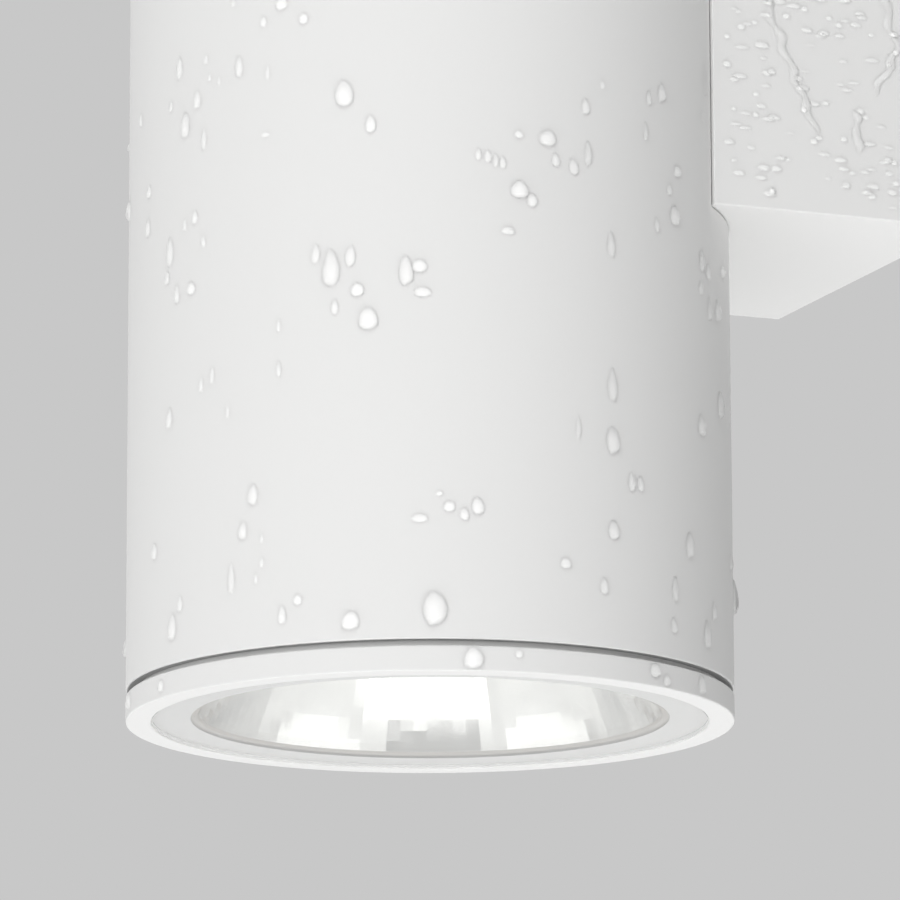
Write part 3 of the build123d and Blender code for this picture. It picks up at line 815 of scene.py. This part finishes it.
@dataclass
class EndPart:
    """What the sub-assemblies of one light end share."""

    sizes: LampSizes
    end: End

    def finish(
        self,
        node: str,
        made: str,
        mesh: BMesh,
        finishes: Sequence[Finish],
        body: str,
        **looks: float,
    ) -> None:
        """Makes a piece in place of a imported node.

        Args:
            node: the node's name, without its end.
            made: the word that the piece's name adds to the node's.
            mesh: the mesh in the end's own frame.
            finishes: the finishes that its faces' material numbers stand for.
            body: the body that it rides on.
            looks: further settings of piece.
        """
        name = self.end.node(node)
        place = self.end.place(self.sizes)
        piece(f"{name}_{made}", mesh, finishes, body, [name], place, **looks)


@dataclass
class EndRing(EndPart):
    """The threaded ring that closes the tube and carries the glass, with its O-ring."""

    face_width: float = 3.8 * MM
    height: float = 3.7 * MM
    ledge_step: float = 2.7 * MM
    seat_height: float = 4.65 * MM
    clearance: float = 0.05 * MM
    shoulder_height: float = 7.58 * MM
    groove_width: float = 1.5 * MM
    edge_radius: float = 0.25 * MM
    steps: int = 256
    section_steps: int = 16  # round the O-ring's section
    thread_pitch: float = 1.5 * MM
    thread_depth: float = 0.6 * MM
    thread_steps: int = 72
    runout: float = 0.15  # of a pitch, between the shoulder and the thread's start
    foot: float = 0.84  # of a pitch, the thread's width at its foot
    crest: float = 0.2  # of a pitch, its width at its crest

    def build(self) -> None:
        """Makes the ring and the O-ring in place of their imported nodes."""
        radius = self.sizes.radius
        mesh = turned(self.outline(), self.steps)
        circles = ((radius, 0), (radius, self.height), (radius - self.face_width, 0))
        corners = [edge for circle in circles for edge in rim_edges(mesh, *circle)]
        rounded(mesh, corners, self.edge_radius)
        for face in mesh.faces:
            at_top = all(abs(vert.co.z - self.height) < TOUCH for vert in face.verts)
            # The ring's top face, in the groove, takes the painted grey shade
            face.material_index = 1 if at_top else 0
        join(mesh, self.thread())
        finishes = [POWDER_COAT, GROOVE_SHADE]
        self.finish("end_ring", "turned", mesh, finishes, self.end.node("cap"))
        self.build_o_ring()

    def thread_end(self) -> float:
        """Returns the height at which the thread ends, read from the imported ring."""
        return self.sizes.span(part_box("lower_end_ring"))[2]

    def outline(self) -> Outline:
        """Returns the ring's section, with the thread's core."""
        radius = self.sizes.radius
        face_inner = radius - self.face_width
        ledge = face_inner - self.ledge_step
        shoulder = radius - self.sizes.mouth_lip - self.clearance
        core = radius - self.sizes.wall - self.clearance - self.thread_depth
        top = self.thread_end()
        section, o_ring_radius, o_ring_height = self.o_ring_sizes()
        floor = o_ring_radius - section - self.clearance
        low, high = o_ring_height - self.groove_width / 2, o_ring_height + self.groove_width / 2
        return [
            (face_inner, 0),
            (radius, 0),
            (radius, self.height),
            (shoulder, self.height),
            (shoulder, low),
            (floor, low),
            (floor, high),
            (shoulder, high),
            (shoulder, self.shoulder_height),
            (core, self.shoulder_height),
            (core, top),
            (ledge, top),
            (ledge, self.seat_height),
            (face_inner, self.seat_height),
        ]

    def thread(self) -> BMesh:
        """Winds the thread's ridge round the neck.

        Returns:
            The ridge, closed at both ends.
        """
        pitch = self.thread_pitch
        crest = self.sizes.radius - self.sizes.wall - self.clearance
        core = crest - self.thread_depth - self.clearance
        start = self.shoulder_height + pitch * self.runout
        turns = (self.thread_end() - start) / pitch - 1
        half_foot, half_crest = pitch * self.foot / 2, pitch * self.crest / 2
        middle = start + half_foot
        section = [
            (core, middle - half_foot),
            (crest, middle - half_crest),
            (crest, middle + half_crest),
            (core, middle + half_foot),
        ]
        steps = round(turns * self.thread_steps)
        mesh = outlined(section)
        spun(mesh, steps, FULL_TURN * steps / self.thread_steps, pitch / self.thread_steps)
        ends = [edge for edge in mesh.edges if edge.is_boundary]
        bmesh.ops.holes_fill(mesh, edges=ends, sides=len(section))
        return mesh

    def o_ring_sizes(self) -> tuple[float, float, float]:
        """Returns the O-ring's section radius, its radius and its height above the lamp's face."""
        outer, low, high = self.sizes.span(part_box("lower_o_ring"))
        section = (high - low) / 2
        return section, outer - section, (low + high) / 2

    def build_o_ring(self) -> None:
        """Makes the O-ring."""
        section, radius, height = self.o_ring_sizes()
        mesh = bmesh.new()
        segments = self.section_steps
        circle = bmesh.ops.create_circle(mesh, segments=segments, radius=section)["verts"]
        upright = Matrix.Translation((radius, 0, height)) @ Matrix.Rotation(math.pi / 2, 4, "X")
        bmesh.ops.transform(mesh, matrix=upright, verts=circle)
        spun(mesh, self.steps // 2)
        self.finish("o_ring", "round", mesh, [RUBBER], self.end.node("seal"))


@dataclass
class FrontGlass(EndPart):
    """The flush glass and the white border on its back."""

    edge_radius: float = 0.1 * MM
    border_width: float = 5.7 * MM
    fired_in: float = 0.02 * MM  # so that no film of air mirrors between glass and enamel
    steps: int = 192

    def build(self) -> None:
        """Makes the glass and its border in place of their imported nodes."""
        body = self.end.node("cap")
        radius, front, back = self.sizes.span(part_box("lower_front_glass"))
        glass = turned([(0, front), (radius, front), (radius, back), (0, back)], self.steps)
        corners = rim_edges(glass, radius, front) + rim_edges(glass, radius, back)
        rounded(glass, corners, self.edge_radius)
        self.finish("front_glass", "disc", glass, [GLASS], body, sharp_from=10)
        inner, outer = radius - self.border_width, radius - TOUCH
        _, low, back = self.sizes.span(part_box("lower_glass_border"))
        front = low - self.fired_in
        border = turned([(inner, front), (outer, front), (outer, back), (inner, back)], self.steps)
        self.finish("glass_border", "print", border, [ENAMEL], body)


@dataclass
class Reflector(EndPart):
    """The faceted reflector: a parabola of small flat mirrors in rows and columns."""

    rim_radius: float = 34.4 * MM
    throat_radius: float = 8.7 * MM
    wall: float = 1.2 * MM
    slant: float = 1.15  # how much thicker the slanting wall is when measured level
    lip_thickness: float = 1.2 * MM
    collar_height: float = 2.0 * MM
    lip_height: float = 0.45 * MM
    columns: int = 102
    rows: int = 24
    rows_to_a_rib: int = 4  # the back has fewer rows
    unevenness: float = 0.0045 * MM

    def build(self) -> None:
        """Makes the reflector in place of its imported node."""
        flange, foot, top = self.sizes.span(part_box("lower_reflector"))
        height = top - foot
        mesh = turned(self.outline(flange, foot, height), self.columns)
        chance = random.Random(self.columns)
        for vert in mesh.verts:
            rise = vert.co.z - foot
            on_mirror = abs(vert.co.xy.length - self.parabola(rise, height)) < TOUCH
            if on_mirror and self.lip_height + TOUCH < rise < height - TOUCH:
                vert.co.xy *= 1 + chance.uniform(-1, 1) * self.unevenness / vert.co.xy.length
        for face in mesh.faces:
            centre = face.calc_center_median()
            mirror = centre.z > foot + self.lip_height and face.normal.xy.dot(centre.xy) < 0
            face.material_index = 0 if mirror else 1
        finishes = [MIRROR, LIP]
        self.finish("reflector", "facets", mesh, finishes, "lamp", sharp_from=0.5, even=False)

    def outline(self, flange: float, foot: float, height: float) -> Outline:
        """Draws the reflector's section.

        Args:
            flange: the flange's radius.
            foot: the height of its lower face.
            height: how high the reflector is.

        Returns:
            The section's points: up the mirror, round the collar and down the back.
        """
        step = (height - self.lip_height) / self.rows
        rises = [self.lip_height + step * row for row in range(self.rows + 1)]
        inside = [(self.parabola(rise, height), foot + rise) for rise in rises]
        collar_foot = height - self.collar_height
        collar = self.parabola(collar_foot, height) + self.wall
        back = [r for r in rises[:: self.rows_to_a_rib] if self.lip_thickness < r < collar_foot]
        outside = [
            (self.parabola(rise, height) + self.slant * self.wall, foot + rise)
            for rise in (*reversed(back), self.lip_thickness)
        ]
        return [
            (self.parabola(0, height), foot),
            *inside,
            (collar, foot + height),
            (collar, foot + collar_foot),
            *outside,
            (flange, foot + self.lip_thickness),
            (flange, foot),
        ]

    def parabola(self, rise: float, height: float) -> float:
        """Returns the mirror's radius at a height above its rim."""
        factor = (self.rim_radius**2 - self.throat_radius**2) / height
        return math.sqrt(self.rim_radius**2 - factor * rise)


@dataclass
class Emitter(EndPart):
    """The LED's domed phosphor in its dam."""

    dam: float = 0.5 * MM
    sag: float = 0.12 * MM
    gel_foot: float = 0.02 * MM
    gel_rings: int = 6
    steps: int = 64

    def build(self) -> None:
        """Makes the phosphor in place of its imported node."""
        radius, bottom, top = self.sizes.span(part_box("lower_led_emitter"))
        inner = radius - self.dam
        rings = [inner * ring / self.gel_rings for ring in range(self.gel_rings, -1, -1)]
        gel = [(r, bottom + self.sag * (r / radius) ** 2 + self.gel_foot) for r in rings]
        outline = [(radius, top), (radius, bottom), (inner, bottom), *gel, (0, top)]
        mesh = turned(outline, self.steps)
        for face in mesh.faces:
            inside = face.calc_center_median().xy.length < inner
            face.material_index = 0 if inside and face.normal.z < 0 else 1
        self.finish("led_emitter", "gel", mesh, [PHOSPHOR, BOARD], "lamp")


@dataclass
class LightEnd:
    """All that one end of the lamp holds."""

    sizes: LampSizes
    end: End

    def build(self) -> None:
        """Makes the end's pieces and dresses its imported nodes."""
        for part in (EndRing, FrontGlass, Reflector, Emitter):
            part(self.sizes, self.end).build()
        for finish, names in END_FINISHES.items():
            dress(finish, [self.end.node(name) for name in names])


# Rain, in pieces of its own that can be left out


@dataclass(frozen=True)
class Drop:
    """A drop on the tube or on a ring, with its size in millimetres.

    Its turn is in degrees to the right of the side that faces the camera, and its height is from
    the middle of the lamp.
    """

    turn: float
    height: float
    width: float
    length: float


# Drops that can be told apart in the photograph, listed one by one: turn, height, width and length
TUBE_DROPS = (
    (-54, -13.7, 1.2, 3.5), (-46, -13.7, 0.8, 1.7), (-45, -16.6, 0.7, 1.4),
    (-42.5, -17.4, 0.7, 1.8), (-37.5, -16, 1.2, 3.2), (-31, -17.7, 0.8, 2.4), (-32, -10, 1.0, 1.6),
    (-23.5, -10.4, 1.3, 1.7), (-28, -7.8, 1.6, 1.8), (-39, -6.3, 0.8, 1.3),
    (-48.5, -19.4, 1.3, 2.8), (-57, -19, 0.8, 1.9), (-52, -22.8, 1.6, 4.0),
    (-46.5, -25.6, 1.0, 3.4), (-71, -18.4, 1.0, 2.2), (-31.5, -27, 1.4, 0.9),
    (-15.5, -22.3, 2.2, 3.6), (-10.5, -27, 1.4, 2.4), (-66.5, -35.7, 1.2, 3.0),
    (-66, -30.3, 1.1, 2.0), (-57, -41, 1.4, 4.2), (-49, -37, 1.1, 2.2), (-52, -37.7, 0.8, 1.9),
    (-46.5, -41, 0.9, 2.0), (-54.5, -47.7, 1.1, 2.8), (-50, -47.6, 1.5, 1.8),
    (-58, -44.8, 1.0, 2.0), (-21, -45.7, 1.2, 2.8), (-18, -48, 2.2, 5.2), (-14.3, -46.4, 1.4, 2.8),
    (-13, -51.4, 1.7, 1.8), (-17.3, -53.7, 1.0, 2.2), (-11, -55.7, 2.4, 3.0), (-4, -48.8, 1.8, 4.2),
    (-1.6, -48.2, 2.0, 1.8), (-1, -52, 2.2, 1.4), (-28.5, -55.6, 0.8, 2.0), (-44, -61.3, 0.9, 2.8),
    (-47, -62.3, 0.9, 2.4), (-40, -67, 0.8, 2.6), (-57, -66, 1.3, 3.0), (-28.5, -62, 0.8, 2.4),
    (-34, -80, 1.5, 3.2), (-36.3, -85, 1.3, 2.6), (-32, -86.5, 0.7, 1.5), (-32, -90, 0.8, 1.7),
    (-33.3, -92.2, 0.7, 1.7), (-39, -91.6, 1.1, 4.4), (-53, -93.8, 1.0, 2.4),
    (-55.5, -97, 1.6, 4.0), (-27.7, -98, 1.2, 2.8), (-24.5, -96, 1.2, 1.6),
    (-14.3, -99.5, 2.2, 2.6), (-1.5, -85, 2.0, 1.2), (-62.5, -85, 1.2, 2.6), (9.3, -31.6, 0.9, 1.8),
    (11.1, -31.8, 1.0, 1.8), (12.6, -32.4, 0.8, 2.0), (13.9, -32.7, 0.9, 1.8),
    (17, -28.3, 1.3, 1.2), (22.6, -28.5, 2.2, 2.2), (24.2, -31.6, 1.1, 2.0),
    (27.8, -32.3, 1.3, 2.4), (31, -30, 1.0, 3.6), (34.3, -19.3, 0.9, 1.6), (30.5, -23, 1.2, 2.2),
    (44.8, -25, 0.9, 2.8), (45.8, -19.8, 1.0, 2.2), (49.4, -18.4, 1.4, 2.6), (17, -36.5, 2.2, 2.4),
    (19.4, -38, 1.4, 2.0), (14.8, -42.7, 1.8, 1.2), (36, -43, 1.1, 3.6), (53, -36.4, 1.8, 2.8),
    (47.7, -38.6, 1.0, 2.2), (54, -29.6, 1.4, 1.8), (51.5, -32.7, 1.0, 1.8), (63, -41.5, 1.3, 3.0),
    (66, -42.8, 1.2, 2.4), (62.5, -45.8, 1.1, 2.0), (66.5, -48.2, 1.2, 3.4), (71, -47.8, 1.6, 3.0),
    (75, -41.2, 1.5, 1.6), (36, -63.8, 1.4, 4.4), (65.5, -13.5, 0.9, 4.6), (64, -19.4, 0.9, 1.8),
    (36, -72, 1.9, 3.6), (40.4, -77.6, 1.2, 2.8), (42.6, -77.7, 1.1, 2.2), (36, -85.2, 1.6, 2.6),
    (57, -85, 1.6, 3.6), (62, -66.5, 1.6, 3.0), (72, -61.8, 1.7, 3.8), (25.7, -90.7, 1.5, 1.5),
    (33.8, -93.4, 1.2, 2.4), (52, -92, 1.2, 3.4), (51.5, -97.5, 1.1, 2.2), (63.5, -97.4, 1.6, 4.2),
    (67, -93.5, 1.2, 2.6), (1, -98, 2.8, 4.6), (3.8, -83.3, 1.5, 1.6), (6.5, -84.4, 1.2, 1.8),
    (8.9, -83.2, 1.6, 2.2), (2, -81.4, 1.0, 0.8), (28.5, -70.6, 0.8, 3.0),
)
RING_DROPS = (
    (8, -105.1, 2.4, 2.9), (16.5, -104.3, 1.0, 1.2), (46, -104.6, 1.8, 1.9),
    (49.2, -105.7, 1.2, 1.7), (61, -105.1, 1.7, 2.5), (-59.5, -105.1, 1.2, 1.9),
    (-78, -105, 1.5, 2.4),
)
# Runs of water on the box's sides: corners along Y and Z in millimetres
BOX_RUNS = (
    ((-31.4, 10.0), (-31.4, -1.0), (-27.6, -10.3), (-23.4, -20.3)),
    ((-17.5, -15.7), (-16.6, -19.0), (-17.0, -22.6)),
    ((-11.6, 6.0), (-11.6, -1.0), (-9.9, -5.7), (-14.1, -13.4)),
)


@dataclass
class Rain:
    """The rain that the photograph shows: drops on the tube, the lower ring and the wall box."""

    sizes: LampSizes
    camera_azimuth: float
    spread: float = 1.3  # how much wider a drop is than its bright middle
    bulge: float = 0.34  # how far it stands out, as a share of the lesser of its sizes
    narrowing: float = 0.22  # how much its upper end draws in
    droop: float = 0.4  # how much of its bulge its upper end loses
    tip_drop: float = 0.04  # how far below its middle it stands out most, as a share of its length
    wobble: Between = (0.9, 1.1)  # of its outline
    sunk: float = 0.06 * MM  # how far its foot is under the paint
    sides: int = 10
    rings: tuple[float, ...] = (1.0, 0.86, 0.55, 0.25)
    # What the photograph shows of the tube, and what the wall box covers: degrees and millimetres
    seen_turn: float = 80.0
    seen_below: float = -2.0
    covered_turn: float = 120.0  # from the side away from the wall
    covered_height: float = 40.0
    # Drops that are drawn on the tube: heights and widths in millimetres, lengths in widths
    tube_count: int = 150
    tube_heights: Between = (-98, 98)
    tube_widths: Between = (0.8, 2.0)
    tube_lengths: Between = (1.2, 2.6)
    # Drops that are drawn on each side of the box, in millimetres
    box_count: int = 240
    box_depths: Between = (-38.5, -2)
    box_heights: Between = (-30.5, 30.5)
    box_widths: Between = (1.1, 2.6)
    box_lengths: Between = (0.7, 1.2)
    run_half: float = 0.75 * MM
    run_swell: float = 0.4 * MM
    run_step: float = 0.7 * MM
    run_sides: int = 6
    run_girths: Between = (0.7, 1.3)
    run_end: float = 0.06  # the share of its section that is left at its ends
    run_fullness: int = 6  # the higher, the nearer to its ends it stays full
    waver: float = 0.45 * MM
    waver_turn: float = 0.9  # radians in each step
    seed: int = 11
    chance: random.Random = field(init=False)

    def __post_init__(self) -> None:
        """Starts the draws."""
        self.chance = random.Random(self.seed)

    def build(self) -> None:
        """Makes the drops on the tube, on the lower ring and on the wall box."""
        seen = [Drop(*sizes) for sizes in TUBE_DROPS]
        self.build_drops("rain_drops_on_tube", [*seen, *self.unseen_drops()], "lamp")
        on_ring = [Drop(*sizes) for sizes in RING_DROPS]
        self.build_drops("rain_drops_on_ring", on_ring, "lower_cap")
        mesh = bmesh.new()
        for side in (1, -1):
            self.wet_box_side(mesh, side)
        self.finish("rain_drops_on_box", mesh, "lamp")

    def finish(self, name: str, mesh: BMesh, body: str) -> None:
        """Makes a piece of water from a mesh."""
        piece(name, mesh, [WATER], body, even=False, sharp_from=60)

    def unseen_drops(self) -> list[Drop]:
        """Draws drops for the parts of the tube that the photograph does not show.

        Returns:
            The drops, clear of the wall box and of the ends.
        """
        drops = []
        while len(drops) < self.tube_count:
            turn = self.chance.uniform(-180, 180)
            height = self.chance.uniform(*self.tube_heights)
            width = self.chance.uniform(*self.tube_widths)
            length = width * self.chance.uniform(*self.tube_lengths)
            seen = abs(turn) < self.seen_turn and height < self.seen_below
            towards_wall = math.cos(math.radians(self.camera_azimuth + turn))
            behind = towards_wall < math.cos(math.radians(self.covered_turn))
            if not seen and not (behind and abs(height) < self.covered_height):
                drops.append(Drop(turn, height, width, length))
        return drops

    def build_drops(self, name: str, drops: Sequence[Drop], body: str) -> None:
        """Makes a piece of drops on the lamp's round side.

        Args:
            name: the piece's name.
            drops: the drops.
            body: the body that they ride on.
        """
        mesh = bmesh.new()
        outwards = Matrix.Translation((self.sizes.radius, 0, 0))
        for drop in drops:
            turn = math.radians(self.camera_azimuth - 90 + drop.turn)
            middle = Matrix.Translation((0, self.sizes.axis_y, drop.height * MM))
            place = middle @ Matrix.Rotation(turn, 4, "Z") @ outwards
            length = drop.length * (1 + self.spread) / 2
            self.add_bead(mesh, place, drop.width * self.spread * MM, length * MM)
        self.finish(name, mesh, body)

    def add_bead(self, mesh: BMesh, place: Matrix, width: float, length: float) -> None:
        """Adds one bead of water, fuller below than above, with its foot just under the paint.

        Args:
            mesh: the mesh that grows.
            place: the way from the bead's frame, with +X outwards, to the row frame.
            width: its width.
            length: its height along the wall.
        """
        swell = self.bulge * min(width, length)
        wobble = [self.chance.uniform(*self.wobble) for _ in range(self.sides)]
        loops = []
        for share in self.rings:
            out = swell * math.sqrt(1 - share**2)
            loop = []
            for side in range(self.sides):
                angle = FULL_TURN * side / self.sides
                reach = share * wobble[side]
                up = math.sin(angle) * reach
                across = math.cos(angle) * reach * (1 - self.narrowing * up) * width / 2
                lift = out * (1 - self.droop * up) - self.sunk
                loop.append(mesh.verts.new(place @ Vector((lift, across, up * length / 2))))
            loops.append(loop)
        skinned(mesh, loops)
        tip_place = Vector((swell - self.sunk, 0, -self.tip_drop * length))
        tip = mesh.verts.new(place @ tip_place)
        for side in range(self.sides):
            mesh.faces.new((loops[-1][side - 1], loops[-1][side], tip))
        mesh.faces.new(list(reversed(loops[0])))

    def wet_box_side(self, mesh: BMesh, side: int) -> None:
        """Wets one side of the wall box with small drops and three runs of water.

        Args:
            mesh: the mesh that grows.
            side: 1 for the side towards +X, -1 for the other.
        """
        facing = Matrix.Rotation(0 if side > 0 else math.pi, 4, "Z")
        to_side = Matrix.Translation((side * self.sizes.box_side_x, 0, 0)) @ facing
        for run in BOX_RUNS:
            self.add_run(mesh, to_side, [(side * y * MM, z * MM) for y, z in run])
        for _ in range(self.box_count):
            y = side * self.chance.uniform(*self.box_depths) * MM
            z = self.chance.uniform(*self.box_heights) * MM
            width = self.chance.uniform(*self.box_widths) * MM
            length = min(width, self.chance.uniform(*self.box_lengths) * MM)
            self.add_bead(mesh, to_side @ Matrix.Translation((0, y, z)), width, length)

    def add_run(self, mesh: BMesh, place: Matrix, path: Outline) -> None:
        """Adds a run of water that wavers along a path.

        Args:
            mesh: the mesh that grows.
            place: the way from the side's frame, with +X outwards, to the row frame.
            path: the path's corners across and up the side.
        """
        spots = []
        for (y0, z0), (y1, z1) in zip(path, path[1:]):
            steps = max(3, round(math.hypot(y1 - y0, z1 - z0) / self.run_step))
            shares = [step / steps for step in range(steps)]
            spots += [(y0 + (y1 - y0) * share, z0 + (z1 - z0) * share) for share in shares]
        spots.append(path[-1])
        loops = []
        for index, (y, z) in enumerate(spots):
            from_middle = abs(2 * index / (len(spots) - 1) - 1)
            taper = math.sqrt(max(self.run_end, 1 - from_middle**self.run_fullness))
            girth = taper * self.chance.uniform(*self.run_girths)
            y += self.waver * math.sin(index * self.waver_turn)
            loop = []
            for side in range(self.run_sides):
                angle = math.pi * side / (self.run_sides - 1)
                out = self.run_swell * girth * math.sin(angle) - self.sunk
                across = self.run_half * girth * math.cos(angle)
                loop.append(mesh.verts.new(place @ Vector((out, y + across, z))))
            loops.append(loop)
        skinned(mesh, loops)
        mesh.faces.new(loops[0])
        mesh.faces.new(list(reversed(loops[-1])))


# Studio


@dataclass(frozen=True)
class PhotoCamera:
    """The camera at the photograph's viewing angle, in front of the lamp and below it."""

    place: tuple[float, float, float] = (0.89344, -0.43504, -0.27160)
    azimuth: float = 67.7476
    rise: float = 12.0638
    roll: float = -0.1882
    lens: float = 264.41
    sensor: float = 36.0

    def matrix(self) -> Matrix:
        """Returns the way from the camera's own frame to the row frame."""
        heading = Matrix.Rotation(math.radians(self.azimuth), 4, "Z")
        tilt = Matrix.Rotation(math.radians(90 + self.rise), 4, "X")
        roll = Matrix.Rotation(math.radians(self.roll), 4, "Z")
        return Matrix.Translation(self.place) @ heading @ tilt @ roll

    def build(self) -> None:
        """Makes the camera and looks through it."""
        data = bpy.data.cameras.new("photo_camera")
        data.lens = self.lens
        data.sensor_width = self.sensor
        made = bpy.data.objects.new("photo_camera", data)
        made.matrix_world = self.matrix()
        bpy.context.scene.collection.objects.link(made)
        bpy.context.scene.camera = made


@dataclass(frozen=True)
class Softbox:
    """A large lamp that looks at the wall light's lower end.

    Its direction is given from there: degrees to the right of the camera, and degrees above
    level. Its roll is in degrees too. A strength of 1 makes its face look white. Where it isn't
    mirrored, the glass and the reflectors don't show it.
    """

    name: str
    right: float
    up: float
    width: float
    height: float
    strength: float
    roll: float = 0.0
    mirrored: bool = True
    distance: float = 1.8

    def build(self, target: Vector, camera_azimuth: float) -> None:
        """Makes the lamp.

        Args:
            target: the point that it looks at.
            camera_azimuth: the camera's heading in degrees.
        """
        heading, rise = math.radians(camera_azimuth + self.right), math.radians(self.up)
        level = math.cos(rise)
        away = Vector((math.sin(heading) * level, -math.cos(heading) * level, math.sin(rise)))
        data = bpy.data.lights.new(self.name, "AREA")
        data.shape = "RECTANGLE"
        data.size = self.width
        data.size_y = self.height
        data.energy = self.strength * self.width * self.height * math.pi
        made = bpy.data.objects.new(self.name, data)
        made.location = target + away * self.distance
        made.rotation_mode = "QUATERNION"
        roll = Quaternion((0, 0, 1), math.radians(self.roll))
        made.rotation_quaternion = away.to_track_quat("Z", "Y") @ roll
        made.visible_camera = False
        made.visible_glossy = self.mirrored
        bpy.context.scene.collection.objects.link(made)


@dataclass
class Studio:
    """Plain pale surroundings, soft light and the camera."""

    sizes: LampSizes
    backdrop: str = "#C8C8C8"
    ambient: float = 0.2
    floor_drop: float = 2.2
    floor_side: float = 60.0
    softboxes: tuple[Softbox, ...] = (
        # Main lamps: from the left, so that the tube darkens to the right
        Softbox("key_left", -25, 8, 1.3, 1.3, 1.78, mirrored=False),
        Softbox("key_front", 0, 8, 1.3, 1.3, 0.85, mirrored=False),
        Softbox("far_left", -110, 8, 1.3, 1.3, 1.2, mirrored=False),
        Softbox("above", 0, 45, 1.3, 1.3, 1.45, mirrored=False),
        Softbox("under", 0, -88, 1.2, 1.2, 1.45),
        Softbox("front_low", 0, -62, 2.0, 0.9, 1.85),
        Softbox("behind_low", 180, -50, 1.8, 1.0, 1.15),
        Softbox("behind_left", -140, 5, 1.3, 1.3, 0.5, mirrored=False),
        Softbox("behind_high", 178, 42, 1.6, 1.6, 1.0, mirrored=False),
        # Strips low in front and beside, which the reflector's facets show as bright fields
        Softbox("strip_front", 0, -43.8, 0.62, 0.22, 1.9),
        Softbox("strip_front_left", -27, -42.7, 0.62, 0.23, 1.9, -4),
        Softbox("strip_front_right", 27, -42.7, 0.62, 0.23, 1.9, 4),
        Softbox("fill_left", -37, -38.5, 0.5, 0.24, 0.9, -6),
        Softbox("fill_right", 37, -38.5, 0.5, 0.24, 0.9, 6),
        Softbox("strip_left", -77, -27, 2.1, 0.24, 1.7, -18),
        Softbox("strip_right", 77, -27, 2.1, 0.24, 1.7, 18),
        Softbox("deep_left", -80, -37, 1.8, 0.4, 1.0, -18),
        Softbox("deep_right", 80, -37, 1.8, 0.4, 1.0, 18),
        Softbox("side_left", -130, -13, 1.5, 0.5, 0.7, -25),
        Softbox("side_right", 129, -13, 1.5, 0.5, 0.7, 25),
    )

    def build(self) -> None:
        """Makes the camera, the world, the lamps and the floor."""
        camera = PhotoCamera()
        camera.build()
        bpy.context.scene.view_settings.view_transform = "Standard"
        self.build_world()
        self.build_floor()
        lower_end = Vector((0, self.sizes.axis_y, -self.sizes.lamp_half))
        for softbox in self.softboxes:
            softbox.build(lower_end, camera.azimuth)

    def build_world(self) -> None:
        """Makes the world: the backdrop's grey where it is seen, and an even light elsewhere."""
        world = bpy.data.worlds.new("studio")
        world.use_nodes = True
        tree = world.node_tree
        tree.nodes.clear()
        shown = add_node(tree, "Background", inputs={"Color": linear(self.backdrop)})
        even = {"Color": linear("#FFFFFF"), "Strength": self.ambient}
        lit = add_node(tree, "Background", inputs=even)
        choice = {0: ray_is(tree, EYE_RAYS), 1: lit.outputs[0], 2: shown.outputs[0]}
        mixed = add_node(tree, "MixShader", inputs=choice)
        add_node(tree, "OutputWorld", inputs={"Surface": mixed.outputs[0]})
        bpy.context.scene.world = world

    def build_floor(self) -> None:
        """Makes the pale floor, far below the wall light."""
        mesh = bmesh.new()
        bmesh.ops.create_grid(mesh, x_segments=1, y_segments=1, size=self.floor_side / 2)
        bmesh.ops.translate(mesh, verts=mesh.verts, vec=(0, 0, -self.floor_drop))
        data = bpy.data.meshes.new("floor")
        mesh.to_mesh(data)
        mesh.free()
        data.materials.append(FLOOR.material())
        made = bpy.data.objects.new("floor", data)
        bpy.context.scene.collection.objects.link(made)


def main() -> None:
    """Builds the studio and every sub-assembly, in order."""
    logging.basicConfig(level=logging.INFO, format="%(message)s")
    sizes = LampSizes.measured()
    Studio(sizes).build()
    LampTube(sizes).build()
    for end in End:
        LightEnd(sizes, end).build()
    for finish, nodes in NODE_FINISHES.items():
        dress(finish, nodes)
    Rain(sizes, PhotoCamera.azimuth).build()


if __name__ == "__main__":
    main()
